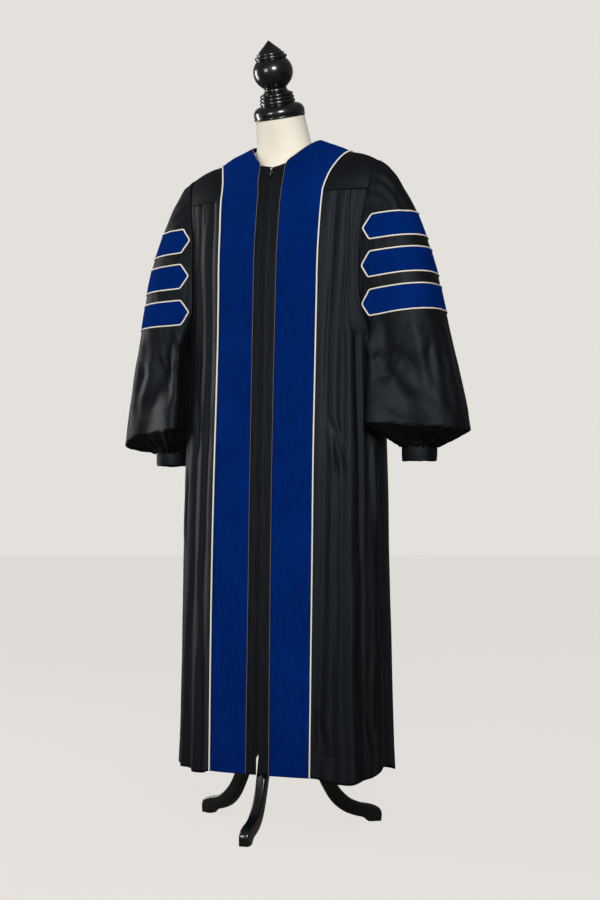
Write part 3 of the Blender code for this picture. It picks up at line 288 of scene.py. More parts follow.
# ---------------------------------------------------------------- form and stand
# rings of the torso and neck; two widths make a neck joined to a pair of shoulders
#     z      y_middle half_width front back tilt_deg neck_width neck_depth
TORSO = np.array([
    (0.800, 0.006, 0.150, 0.080, 0.086, 0.0, 0.055, 0.040),
    (0.806, 0.006, 0.158, 0.085, 0.091, 0.0, 0.055, 0.040),
    (0.860, 0.006, 0.166, 0.090, 0.096, 0.0, 0.055, 0.040),
    (0.930, 0.006, 0.163, 0.087, 0.094, 0.0, 0.055, 0.040),
    (1.010, 0.006, 0.139, 0.076, 0.084, 0.0, 0.055, 0.040),
    (1.070, 0.006, 0.130, 0.073, 0.078, 0.0, 0.055, 0.040),
    (1.150, 0.006, 0.144, 0.079, 0.083, 0.0, 0.060, 0.042),
    (1.220, 0.006, 0.163, 0.082, 0.088, 0.0, 0.070, 0.044),
    (1.290, 0.006, 0.174, 0.076, 0.086, 0.0, 0.080, 0.047),
    (1.350, 0.007, 0.184, 0.066, 0.080, 0.0, 0.086, 0.049),
    (1.400, 0.008, 0.195, 0.057, 0.070, 0.0, 0.088, 0.051),
    (1.430, 0.009, 0.203, 0.048, 0.060, 0.0, 0.087, 0.053),
    (1.450, 0.010, 0.205, 0.040, 0.050, 0.0, 0.083, 0.054),
    (1.463, 0.010, 0.204, 0.035, 0.043, 0.5, 0.079, 0.054),
    (1.475, 0.010, 0.192, 0.030, 0.036, 1.3, 0.075, 0.0535),
    (1.487, 0.009, 0.163, 0.025, 0.031, 2.6, 0.0720, 0.0532),
    (1.498, 0.0075, 0.135, 0.022, 0.028, 4.6, 0.0695, 0.0530),
    (1.511, 0.0045, 0.090, 0.016, 0.020, 7.6, 0.0668, 0.0530),
    (1.525, 0.0005, 0.060, 0.010, 0.010, 11.2, 0.0640, 0.0533),
    (1.548, -0.0070, 0.020, 0.010, 0.010, 16.0, 0.0605, 0.0540),
    (1.566, -0.0136, 0.020, 0.010, 0.010, 18.6, 0.0580, 0.0550),
    (1.5848, -0.0207, 0.020, 0.010, 0.010, 20.0, 0.0560, 0.0560),
])
NECK_TILT = 20.0
CAP_Y, CAP_Z = -0.0210, 1.5855
# turned cap, its profile from its base along its own axis:  height, radius
CAP = [
    (0.0000, 0.0545), (0.0023, 0.0568), (0.0092, 0.0578), (0.0166, 0.0565),
    (0.0231, 0.0520), (0.0273, 0.0450), (0.0286, 0.0385), (0.0310, 0.0395),
    (0.0342, 0.0400), (0.0371, 0.0390), (0.0381, 0.0368), (0.0392, 0.0382),
    (0.0420, 0.0390), (0.0448, 0.0380), (0.0457, 0.0355), (0.0469, 0.0368),
    (0.0499, 0.0375), (0.0527, 0.0360), (0.0545, 0.0310), (0.0591, 0.0262),
    (0.0647, 0.0250), (0.0702, 0.0305), (0.0785, 0.0380), (0.0887, 0.0430),
    (0.0998, 0.0447), (0.1109, 0.0432), (0.1201, 0.0390), (0.1261, 0.0345),
    (0.1280, 0.0330), (0.1294, 0.0355), (0.1331, 0.0362), (0.1358, 0.0345),
    (0.1368, 0.0300), (0.1386, 0.0310), (0.1414, 0.0305), (0.1428, 0.0270),
    (0.1478, 0.0235), (0.1571, 0.0135), (0.1654, 0.0050), (0.1700, 0.0),
]
STAND_X, STAND_Y = -0.020, 0.004
POLE_R = 0.0125
HUB = [(0.1450, 0.0), (0.1450, 0.0120), (0.1480, 0.0240), (0.1560, 0.0292), (0.1600, 0.0300),
       (0.2120, 0.0300), (0.2140, 0.0286), (0.2170, 0.0286), (0.2190, 0.0300), (0.2720, 0.0300),
       (0.2790, 0.0292), (0.2860, 0.0240), (0.2895, 0.0160), (0.2900, 0.0)]
POLE = [(0.2903, 0.0), (0.2903, POLE_R), (0.7997, POLE_R), (0.7997, 0.0)]
LEG_TURN = 10.5
LEG_BOARD = 0.022
LEG_EDGE = 0.0045          # how far the leg's edges are rounded over
LEG_TOP = [(0.0325, 0.262), (0.060, 0.248), (0.084, 0.215), (0.104, 0.168),
           (0.121, 0.120), (0.141, 0.082), (0.166, 0.056), (0.192, 0.043),
           (0.218, 0.0375), (0.236, 0.030), (0.243, 0.018), (0.242, 0.000)]
LEG_UNDER = [(0.212, 0.000), (0.200, 0.009), (0.178, 0.015), (0.152, 0.026),
             (0.127, 0.048), (0.105, 0.084), (0.086, 0.122), (0.064, 0.150),
             (0.0325, 0.168)]


# ---------------------------------------------------------------- curves and tables
def smooth(rows, key, column):
    """A column of a table as a smooth curve of its first column."""
    x, y = rows[:, 0], rows[:, column]
    slope = np.gradient(y, x)
    i = np.clip(np.searchsorted(x, key) - 1, 0, len(x) - 2)
    step = x[i + 1] - x[i]
    t = np.clip((key - x[i]) / step, 0.0, 1.0)
    return ((2 * t**3 - 3 * t**2 + 1) * y[i] + (t**3 - 2 * t**2 + t) * step * slope[i]
            + (3 * t**2 - 2 * t**3) * y[i + 1] + (t**3 - t**2) * step * slope[i + 1])


def padded_ends(points, axis, closed):
    """One more row at each end of an array, carried on straight or round."""
    p = np.moveaxis(points, axis, 0)
    if closed:
        p = np.concatenate([p[-1:], p, p[:2]])
    else:
        p = np.concatenate([2 * p[:1] - p[1:2], p, 2 * p[-1:] - p[-2:-1]])
    return np.moveaxis(p, 0, axis)


def spline_weights(t, count, closed):
    """Where each parameter falls among the points, and the weights of its four."""
    i = np.floor(t).astype(int)
    i = np.mod(i, count) if closed else np.clip(i, 0, count - 2)
    f = (t - np.floor(t)) if closed else t - i
    w = np.stack([-0.5 * f + f**2 - 0.5 * f**3, 1 - 2.5 * f**2 + 1.5 * f**3,
                  0.5 * f + 2 * f**2 - 1.5 * f**3, -0.5 * f**2 + 0.5 * f**3], axis=-1)
    return i, w


def through(points, t, closed=False):
    """A smooth curve through points, at parameters counted in points."""
    points = np.asarray(points, float)
    i, w = spline_weights(np.asarray(t, float), len(points), closed)
    padded = padded_ends(points, 0, closed)
    return sum(w[..., k, None] * padded[i + k] for k in range(4))


def surface(grid, row, column, closed=False):
    """A smooth surface through a grid of points, at row and column parameters."""
    grid = np.asarray(grid, float)
    i, wi = spline_weights(row, grid.shape[0], False)
    j, wj = spline_weights(column, grid.shape[1], closed)
    padded = padded_ends(padded_ends(grid, 0, False), 1, closed)
    out = 0.0
    for a in range(4):
        for b in range(4):
            out = out + (wi[..., a] * wj[..., b])[..., None] * padded[i + a, j + b]
    return out


def unit(v):
    return v / np.maximum(np.linalg.norm(v, axis=-1, keepdims=True), 1e-12)


def normals(points, wrap=False):
    """Unit normals of a grid of points; columns run the way that makes them face out."""
    up = np.gradient(points, axis=0)
    if wrap:                                 # the last column is the first again
        ring = points[:, :-1]
        across = (np.roll(ring, -1, 1) - np.roll(ring, 1, 1)) / 2
        across = np.concatenate([across, across[:, :1]], axis=1)
    else:
        across = np.gradient(points, axis=1)
    return unit(np.cross(across, up))


def ripple(a, b, seed):
    """Slow seeded waver in about -1 to 1, for lines that no hand makes quite straight."""
    rng = np.random.default_rng(seed)
    out = 0.0
    for scale in (1.0, 2.1, 4.3):
        p, q, r = rng.uniform(0, 2 * math.pi, 3)
        out = out + np.sin(a * 2.3 * scale + p + 1.7 * np.sin(b * 1.9 * scale + q) + r) / scale
    return out / 1.7


def crease(u, v, ends, half, depth, seed):
    """Depth of one soft crease along a line, in a plane of metres, fading at its ends."""
    (u0, v0), (u1, v1) = ends
    du, dv = u1 - u0, v1 - v0
    length = math.hypot(du, dv)
    along = ((u - u0) * du + (v - v0) * dv) / length
    off = ((u - u0) * dv - (v - v0) * du) / length
    share = along / length
    off = off + 0.35 * half * ripple(share * 2.0, share * 0.0, seed)
    fade = np.clip(share / 0.22, 0, 1) * np.clip((1 - share) / 0.30, 0, 1)
    fade = fade * fade * (3 - 2 * fade)
    wide = half * (0.75 + 0.5 * np.clip(share, 0, 1))
    dip = np.exp(-(off / wide) ** 2)
    shoulders = 0.35 * np.exp(-((np.abs(off) - 1.9 * wide) / (0.9 * wide)) ** 2)
    return depth * fade * (dip - shoulders)


# ---------------------------------------------------------------- the gown's surfaces
def body_ring(turn, z, fold=0.0):
    """Points on the gown's ring; turn is 0 at the front, 90 at the side."""
    half, front, back = (smooth(BODY, z, k) for k in (1, 2, 3))
    power = 2.0 / smooth(BODY, z, 4)
    a = np.radians(turn)
    s, c = np.sin(a), np.cos(a)
    x = half * np.abs(s) ** power * np.sign(s)
    depth = np.where(c > 0, front, back)
    y = -np.sign(c) * depth * np.abs(c) ** power
    way = unit(np.stack([-x / half**2, -y / depth**2], axis=-1))
    return np.stack([x + way[..., 0] * fold, y + way[..., 1] * fold, z + 0 * x], axis=-1)


def turn_at(x, z):
    half, square = smooth(BODY, z, 1), smooth(BODY, z, 4)
    return np.degrees(np.arcsin(np.clip(x / half, 0, 1) ** (square / 2)))


def squeezed(start, full_end, end, share, kept):
    full = start + (full_end - start) * share
    hold = start + (full_end - start) * kept
    bent = hold + (end - hold) * (share - kept) / (1 - kept)
    tight = (end - hold) / (full_end - hold)
    changed = (np.abs(end - full_end) > 1e-9) & (share > kept)
    return np.where(changed, bent, full), np.where(changed, tight, 1.0)


def pleat_depth(rows, share, z, seed):
    """How far the cloth sits in, from a table of pleats."""
    waist_z = 0.95
    total = 0.0
    for n, (top, hem, half, at_yoke, at_waist, at_hem, low, high) in enumerate(rows):
        t = np.clip((YOKE_Z - z) / (YOKE_Z - HEM_Z), 0, 1)
        middle = top + (hem - top) * t + 0.010 * ripple(z * 2.2, 0 * z, seed + n)
        above = np.clip((z - waist_z) / (YOKE_Z - waist_z), 0, 1)
        below = np.clip((waist_z - z) / (waist_z - HEM_Z), 0, 1) ** 1.4
        depth = np.where(z > waist_z, at_waist + (at_yoke - at_waist) * above,
                         at_waist + (at_hem - at_waist) * below)
        fade = np.clip((high - z) / 0.02, 0, 1) * np.clip((z - low) / 0.01, 0, 1)
        wide = half * (0.62 + 0.55 * t) * (1 + 0.25 * ripple(z * 3.1, 0 * z, seed + 40 + n))
        total = total + depth * fade * np.exp(-((share - middle) / wide) ** 2)
    return total


def front_points(side, column, z):
    """One front, column 0 at the facing's inner edge to 1 at the side or armhole."""
    inner, outer = smooth(FACING, z, 1), smooth(FACING, z, 2)
    faced_x = inner + (outer - inner) * np.clip(column / FACED, 0, 1)
    share = np.clip((column - FACED) / (1 - FACED), 0, 1)
    edge = turn_at(smooth(ARMHOLE, z, 1), z)
    end = np.where(z > UNDERARM_Z, edge, 90.0)
    turn, tight = squeezed(turn_at(outer, z), 90.0, end, share, FRONT_KEPT)
    turn = np.where(column < FACED, turn_at(faced_x, z), turn)
    fold = 0.0
    if side:
        seed = 11 if side == "left" else 31
        fold = pleat_depth(PLEATS[side], share, z, seed) * np.where(share > 0, tight**2, 1.0)
        width = 0.30
        for n, (s0, z0, s1, z1, half, depth) in enumerate(SKIRT_CREASES[side]):
            fold = fold + crease(share * width, z, ((s0 * width, z0), (s1 * width, z1)),
                                 half, depth, seed + 60 + n)
        ease = np.clip((column - FACED) / 0.035, 0, 1) * np.clip((1 - share) / 0.05, 0, 1)
        fold = fold * ease * ease * (3 - 2 * ease)
        fold = fold + 0.0007 * ripple(share * 7, z * 5, seed + 90) * ease
        hem = np.clip((z - HEM_FOLD_Z) / 0.004, -1, 1)
        fold = fold + 0.0007 * (1 - np.abs(hem)) * ease
    points = body_ring(turn, z, fold)
    if side:
        middle, half, drop, lift = HEM_SAG[side]
        near = np.exp(-(z - HEM_Z) / 0.10)
        rise = np.clip((share - 0.70) / 0.30, 0, 1)
        sag = drop * np.exp(-((share - middle) / half) ** 2) * np.clip(share / 0.10, 0, 1)
        points[..., 2] += (lift * rise * rise * (3 - 2 * rise) - sag) * near
    return points


def back_points(column, z, folded=True):
    """The back, from the wearer's left side seam round to the right one."""
    edge = 180.0 - turn_at(smooth(ARMHOLE, z, 2), z)
    start = np.where(z > UNDERARM_Z, edge, 90.0)
    side_share = np.abs(2 * column - 1)
    turn, tight = squeezed(180.0, 90.0, start, side_share, BACK_KEPT)
    turn = np.where(column > 0.5, 360.0 - turn, turn)
    fold = 0.0
    if folded:
        fold = pleat_depth(BACK_PLEATS, column, z, 71) * tight
        ease = np.clip((1 - side_share) / 0.04, 0, 1)
        fold = fold * ease * ease * (3 - 2 * ease)
        fold = fold + 0.0007 * ripple(column * 14, z * 5, 97) * ease
        hem = np.clip((z - HEM_FOLD_Z) / 0.004, -1, 1)
        fold = fold + 0.0007 * (1 - np.abs(hem)) * ease
    points = body_ring(turn, z, fold)
    if folded:
        lift = np.where(column < 0.5, HEM_SAG["left"][3], HEM_SAG["right"][3])
        rise = np.clip(1 - (1 - side_share) / 0.30, 0, 1)
        points[..., 2] += lift * rise * rise * (3 - 2 * rise) * np.exp(-(z - HEM_Z) / 0.10)
    return points


def yoke_control():
    """The half yoke's points: rows front seam to back, columns neckline to outer edge."""
    seam_z = np.full(7, YOKE_Z)
    columns = np.array([0, 1 / 3, 2 / 3, 1]) * FACED
    columns = np.concatenate([columns, FACED + (1 - FACED) * np.array([1, 2, 3]) / 3])
    seam = front_points(None, columns, seam_z)
    rows = []
    for k, (neck, facing, outer) in enumerate(YOKE):
        if k == 0:
            rows.append(seam)
            continue
        if outer is None:
            share = (k - BACK_CORNER) / (len(YOKE) - 1 - BACK_CORNER)
            outer = back_points(np.array(0.5 * share), np.array(BACK_YOKE_Z), folded=False)
        neck, facing, outer = (np.array(p, float) for p in (neck, facing, outer))
        row = [neck + (facing - neck) * s / 3 for s in range(3)]
        row += [facing + (outer - facing) * s / 3 for s in range(4)]
        rows.append(np.array(row))
    grid = np.array(rows)
    crowns = np.array([0, 0.35, 0.45, 0, 0.9, 0.9, 0]) * CROWN
    lift = normals(grid) * crowns[None, :, None]
    lift[-1] *= 0.3
    lift[0] = 0.0
    return grid + lift


YOKE_GRID = yoke_control()
YOKE_ROWS = len(YOKE) - 1


def yoke_points(column, row):
    """Half yoke, column 0 at the neckline to 1 at the outer edge, row 0 at the front seam."""
    points = surface(YOKE_GRID, row, column * 6.0)
    return points


def facing_points(across, along):
    """The strip a velvet facing lies on; along is 0 at the hem, 1 at the back middle.

    It runs up the front to the yoke seam, then over the shoulder and round the neck.
    """
    at_seam = FACING_SPLIT
    z = HEM_Z + (YOKE_Z - HEM_Z) * np.clip(along / at_seam, 0, 1)
    front = front_points(None, across * FACED, z)
    row = YOKE_ROWS * np.clip((along - at_seam) / (1 - at_seam), 0, 1)
    top = yoke_points(across * 0.5, row)
    return np.where((along < at_seam)[..., None], front, top)


FACING_SPLIT = 0.82


def armhole_curve(count):
    """The armhole's edge as an evenly spaced closed run, shoulder to front and round."""
    rows = np.linspace(5, 0, 26)
    over = yoke_points(np.ones_like(rows), rows)
    down = np.linspace(YOKE_Z, UNDERARM_Z, 60)
    front = front_points(None, np.ones_like(down), down)[1:]
    up = np.linspace(UNDERARM_Z, BACK_YOKE_Z, 54)
    back = back_points(np.zeros_like(up), up, folded=False)[1:]
    rows = np.linspace(7, 5, 14)
    behind = yoke_points(np.ones_like(rows), rows)
    run = np.concatenate([over, front, back, behind])
    step = np.concatenate([[0], np.cumsum(np.linalg.norm(np.diff(run, axis=0), axis=1))])
    at = np.linspace(0, step[-1], count + 1)[:-1]
    return np.stack([np.interp(at, step, run[:, k]) for k in range(3)], axis=1)


def sleeve_control(count=96):
    """Rings of the sleeve from the armhole to the cuff, evenly round."""
    loop = armhole_curve(count)
    mid_z, tall = (SLEEVE[0][2] + SLEEVE[0][4]) / 2, (SLEEVE[0][2] - SLEEVE[0][4]) / 2
    first = np.arctan2(-(loop[:, 1] - 0.002) / 0.052, (loop[:, 2] - mid_z) / tall)
    first = np.where(first > -1e-3, first, first + 2 * math.pi)
    first[0] = 0.0
    even = 2 * math.pi * np.arange(count) / count

    def ring(station, angle):
        _, ox, oz, ix, iz, front_d, back_d, y_mid = station
        outer, inner = np.array((ox, y_mid, oz)), np.array((ix, y_mid, iz))
        centre, arm = (outer + inner) / 2, (outer - inner) / 2
        c, f = np.cos(angle), np.sin(angle)
        points = centre + arm * (np.abs(c) ** 0.9 * np.sign(c))[:, None]
        points[:, 1] -= np.where(f > 0, front_d, back_d) * np.abs(f) ** 0.9 * np.sign(f)
        s = station[0]
        for turn, wide, inwards, forwards, start, full, keep, end in LOBES:
            grown = min(1.0, max(0.0, (s - start) / (full - start)), max(0.0, (end - s) / (end - keep)))
            off = np.minimum(1.0, np.abs(np.degrees(angle) - turn) / wide)
            lobe = grown * np.cos(np.radians(90 * off)) ** 2
            points = points - lobe[:, None] * np.array([inwards, forwards, 0.0])
        return points

    zero = ring(SLEEVE[0], first)
    rings = []
    for station in SLEEVE:
        s = station[0]
        if s == 0.0:
            rings.append(loop + np.array([SLEEVE_STAND_OFF, 0, 0]))
            continue
        settle = min(1.0, s / SETTLE_BY)
        settle = settle * settle * (3 - 2 * settle)
        points = ring(station, first + (even - first) * settle)
        if s < SETTLE_BY:
            points = points + (loop - zero) * (1 - settle)
            points[:, 0] = np.maximum(points[:, 0], loop[:, 0] + 0.0025)
        rings.append(points)
    base = rings[-1]
    hub = np.array([CUFF_X, CUFF_Y])
    flat = base[:, :2] - hub
    reach = np.linalg.norm(flat, axis=1)
    way = flat / reach[:, None]
    for share, drop, levelled in TURN_UNDER:
        out = np.full(count, CUFF_R + 0.0030) if share is None else np.maximum(reach * share, CUFF_R + 0.011)
        level = base[:, 2] * (1 - levelled) + 0.872 * levelled - drop
        rings.append(np.column_stack([hub + way * out[:, None], level]))
    return np.array(rings)


SLEEVE_GRID = sleeve_control()
SLEEVE_LAST = len(SLEEVE) - 1              # ring at the lower fold
SLEEVE_END = len(SLEEVE) + len(TURN_UNDER) - 1
ALONG = np.array([station[0] for station in SLEEVE])


def filled_out(side, points):
    """Draws a sleeve's points out or in below the shoulder."""
    points = np.array(points)
    down = np.clip((1.42 - points[..., 2]) / 0.27, 0, 1)
    down = down * down * (3 - 2 * down)
    points[..., 0] += (points[..., 0] - 0.24) * (SLEEVE_FULL[side] - 1) * down
    outer = np.clip((points[..., 0] - CUFF_X - 0.045) / 0.06, 0, 1)
    low = np.clip((1.05 - points[..., 2]) / 0.17, 0, 1)
    points[..., 2] -= SLEEVE_DROP[side] * outer * low**2
    return points


def sleeve_points(side, column, row):
    """A sleeve with its creases; column goes once round from the shoulder, row in rings."""
    count = SLEEVE_GRID.shape[1]
    turn_in = np.mod(column * count, count)
    above = surface(SLEEVE_GRID[:SLEEVE_LAST + 1], np.minimum(row, SLEEVE_LAST), turn_in, closed=True)
    below = surface(SLEEVE_GRID[SLEEVE_LAST:], np.maximum(row - SLEEVE_LAST, 0), turn_in, closed=True)
    base = np.where((row <= SLEEVE_LAST)[..., None], above, below)
    face = normals(base, wrap=True)
    along = np.interp(row, np.arange(SLEEVE_LAST + 1), ALONG)
    under = np.clip((row - SLEEVE_LAST) / len(TURN_UNDER), 0, 1)
    turn = np.mod(column * 360.0 + 180.0, 360.0) - 180.0
    seed = 201 if side == "left" else 301
    fold = np.zeros_like(row)
    length, girth = 0.52, 0.58
    for n, (t0, a0, t1, a1, half, depth) in enumerate(SLEEVE_CREASES[side]):
        u = turn / 360.0 * girth
        run = np.where(row > SLEEVE_LAST, along + under * 0.10, along) * length
        fold = fold + crease(u, run, ((t0 / 360 * girth, a0 * length), (t1 / 360 * girth, a1 * length)),
                             half, depth, seed + n)
    near_end = 0.06 * np.clip((along - 0.93) / 0.07, 0, 1) ** 2
    gather = np.cos(2 * math.pi * (CUFF_GATHERS * column + 0.35 * ripple(column * 9, 0 * row, seed + 50)))
    uneven = 1 + 0.45 * ripple(column * 13, 0 * row, seed + 51)
    turned = 0.06 + 0.94 * np.clip((under - 0.12) * 1.8, 0, 1) - 0.4 * under**2
    closing = np.where(row > SLEEVE_LAST, turned, near_end)
    fold = fold + CUFF_GATHER_DEPTH * gather * uneven * closing * 0.8
    fold = fold + 0.0008 * ripple(column * 16, row * 1.3, seed + 52)
    edge = np.clip(row / 0.25, 0, 1)
    return filled_out(side, base - face * (fold * edge)[..., None])


# ---------------------------------------------------------------- meshes
def look_up(rows_count, cols_count):
    """Row and column shares of every point of a grid."""
    v, u = np.meshgrid(np.linspace(0, 1, rows_count), np.linspace(0, 1, cols_count), indexing="ij")
    return u, v


def linked(name, bm, material, smooth_shade=True):
    mesh = bpy.data.meshes.new(name)
    bm.to_mesh(mesh)
    bm.free()
    mesh.materials.append(material)
    for polygon in mesh.polygons:
        polygon.use_smooth = smooth_shade
    obj = bpy.data.objects.new(name, mesh)
    bpy.context.scene.collection.objects.link(obj)
    return obj


def shifted(points):
    out = np.array(points, float)
    out[..., 1] += MIDDLE_Y
    return out


def laid_grid(points, size, wrap=False):
    """A grid laid over an array of points, its UV map in metres of cloth."""
    rows, cols = points.shape[:2]
    bm = bmesh.new()
    bm.loops.layers.uv.new("UVMap")
    bmesh.ops.create_grid(bm, x_segments=cols - 1, y_segments=rows - 1, size=0.5, calc_uvs=True)
    layer = bm.loops.layers.uv.active
    for face in bm.faces:
        for loop in face.loops:
            loop[layer].uv.x *= size[0]
            loop[layer].uv.y *= size[1]
    for v in bm.verts:
        c, r = round((v.co.x + 0.5) * (cols - 1)), round((v.co.y + 0.5) * (rows - 1))
        v.co = points[r, c]
    if wrap:
        bmesh.ops.remove_doubles(bm, verts=bm.verts[:], dist=1e-6)
    return bm


def sewn(piece, slot, *nodes, body=GOWN):
    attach(piece, body)
    if nodes:
        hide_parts(*nodes)
    return piece


def cloth(name, points, size, material, wrap=False, thick=SHELL, flip=False):
    """A thin shell of cloth over an array of points, thickened inwards."""
    bm = laid_grid(shifted(points), size, wrap)
    if flip:
        bmesh.ops.reverse_faces(bm, faces=bm.faces[:])
    piece = linked(name, bm, material)
    shell = piece.modifiers.new("thickness", "SOLIDIFY")
    shell.thickness = thick
    shell.offset = -1.0
    shell.use_even_offset = False
    return piece


def cord_tube(name, path, away, radius, material, sides=8, closed=False):
    """A round cord along a path; away is each point's outward way."""
    path, away = np.asarray(path, float), np.asarray(away, float)
    if closed:
        path, away = np.concatenate([path, path[:1]]), np.concatenate([away, away[:1]])
        before, after = np.roll(path[:-1], 1, 0), np.roll(path[:-1], -1, 0)
        way = unit(after - before)
        way = np.concatenate([way, way[:1]])
    else:
        way = unit(np.gradient(path, axis=0))
    side = unit(np.cross(way, away))
    high = unit(np.cross(side, way))
    length = np.concatenate([[0], np.cumsum(np.linalg.norm(np.diff(path, axis=0), axis=1))])
    angle = np.linspace(0, 2 * math.pi, sides + 1)[None, :]
    ring = (path[:, None] + side[:, None] * (radius * np.cos(angle))[..., None]
            + high[:, None] * (radius * np.sin(angle))[..., None])
    made = laid_grid(shifted(ring), (2 * math.pi * radius, length[-1]), wrap=True)
    if not closed:
        rims = [e for e in made.edges if e.is_boundary]
        bmesh.ops.holes_fill(made, edges=rims, sides=0)
    bmesh.ops.recalc_face_normals(made, faces=made.faces[:])
    return linked(name, made, material)


def spun(name, profile, material, place, steps=96, refine=3):
    """A turned piece: a smooth profile of heights and radii spun about its own axis."""
    bm = bmesh.new()
    count = (len(profile) - 1) * refine + 1
    heights = np.array(profile)
    fine = through(heights, np.linspace(0, len(profile) - 1, count)) if refine > 1 else heights
    fine[:, 1] = np.maximum(fine[:, 1], 0.0)
    fine[0], fine[-1] = heights[0], heights[-1]
    verts = [bm.verts.new((r, 0.0, h)) for h, r in fine]
    edges = [bm.edges.new(pair) for pair in zip(verts, verts[1:])]
    bmesh.ops.spin(bm, geom=verts + edges, cent=(0, 0, 0), axis=(0, 0, 1), angle=2 * math.pi,
                   steps=steps, use_merge=True)
    bmesh.ops.remove_doubles(bm, verts=bm.verts[:], dist=1e-6)
    bmesh.ops.recalc_face_normals(bm, faces=bm.faces[:])
    bmesh.ops.transform(bm, matrix=place, verts=bm.verts[:])
    return linked(name, bm, material)


# ---------------------------------------------------------------- materials
def linear(hex_colour):
    """An sRGB hex colour as linear RGBA."""
    channels = [int(hex_colour[i:i + 2], 16) / 255 for i in (0, 2, 4)]
    return (*[c / 12.92 if c <= 0.04045 else ((c + 0.055) / 1.055) ** 2.4 for c in channels], 1.0)


def add_node(tree, kind, links=None, **settings):
    """Add one shader node; settings name its properties or its inputs."""
    made = tree.nodes.new(kind)
    for key, value in settings.items():
        if hasattr(made, key) and key not in made.inputs:
            setattr(made, key, value)
        else:
            made.inputs[key.replace("_", " ")].default_value = value
    for key, source in (links or {}).items():
        tree.links.new(source, made.inputs[key])
    return made


def new_material(name, **shader_settings):
    made = bpy.data.materials.new(name)
    made.use_nodes = True
    tree = made.node_tree
    shader = tree.nodes["Principled BSDF"]
    for key, value in shader_settings.items():
        shader.inputs[key.replace("_", " ")].default_value = value
    return made, tree, shader


def colour_ramp(tree, factor, low, high, start=0.3, end=0.7):
    ramp = add_node(tree, "ShaderNodeValToRGB", {"Fac": factor})
    ramp.color_ramp.elements[0].position, ramp.color_ramp.elements[0].color = start, low
    ramp.color_ramp.elements[1].position, ramp.color_ramp.elements[1].color = end, high
    return ramp


def ranged(tree, value, low, high):
    made = add_node(tree, "ShaderNodeMapRange", {"Value": value}, To_Min=low, To_Max=high)
    return made.outputs["Result"]


def gown_cloth(settings):
    """Black polyester suiting: a fine twill, matt at first sight with a soft satin sheen."""
    made, tree, shader = new_material(
        "black_polyester_twill", Metallic=0.0, IOR=1.5, Specular_IOR_Level=0.20,
        Sheen_Weight=0.02, Sheen_Roughness=0.45)
    shader.inputs["Sheen Tint"].default_value = linear("8a949c")
    shader.inputs["Specular Tint"].default_value = linear("dce8f6")
    spot = add_node(tree, "ShaderNodeTexCoord")
    slow = add_node(tree, "ShaderNodeTexNoise", {"Vector": spot.outputs["Object"]},
                    Scale=5.0, Detail=3.0, Roughness=0.55)
    ramp = colour_ramp(tree, slow.outputs["Fac"], linear(settings.cloth_dark), linear(settings.cloth_light))
    tree.links.new(ramp.outputs["Color"], shader.inputs["Base Color"])
    tree.links.new(ranged(tree, slow.outputs["Fac"], 0.50, 0.64), shader.inputs["Roughness"])
    # twill lines every 1.1 mm, about twice the real spacing so that they show close up
    twill_map = add_node(tree, "ShaderNodeMapping", {"Vector": spot.outputs["UV"]})
    twill_map.inputs["Rotation"].default_value = (0, 0, math.radians(58))
    twill = add_node(tree, "ShaderNodeTexWave", {"Vector": twill_map.outputs["Vector"]},
                     Scale=2 * math.pi / 20 / 0.0011, Distortion=0.6, Detail=1.0)
    # soft handling creases 10 to 40 mm long, drawn out along the cloth's hang
    long_map = add_node(tree, "ShaderNodeMapping", {"Vector": spot.outputs["Object"]})
    long_map.inputs["Scale"].default_value = (26.0, 26.0, 5.0)
    handled = add_node(tree, "ShaderNodeTexNoise", {"Vector": long_map.outputs["Vector"]},
                       Scale=1.0, Detail=3.0, Roughness=0.5)
    weave_bump = add_node(tree, "ShaderNodeBump", {"Height": twill.outputs["Fac"]},
                          Strength=0.22, Distance=0.00012)
    under_crease = {"Height": handled.outputs["Fac"], "Normal": weave_bump.outputs["Normal"]}
    crease_bump = add_node(tree, "ShaderNodeBump", under_crease, Strength=0.32, Distance=0.0016)
    tree.links.new(crease_bump.outputs["Normal"], shader.inputs["Normal"])
    return made


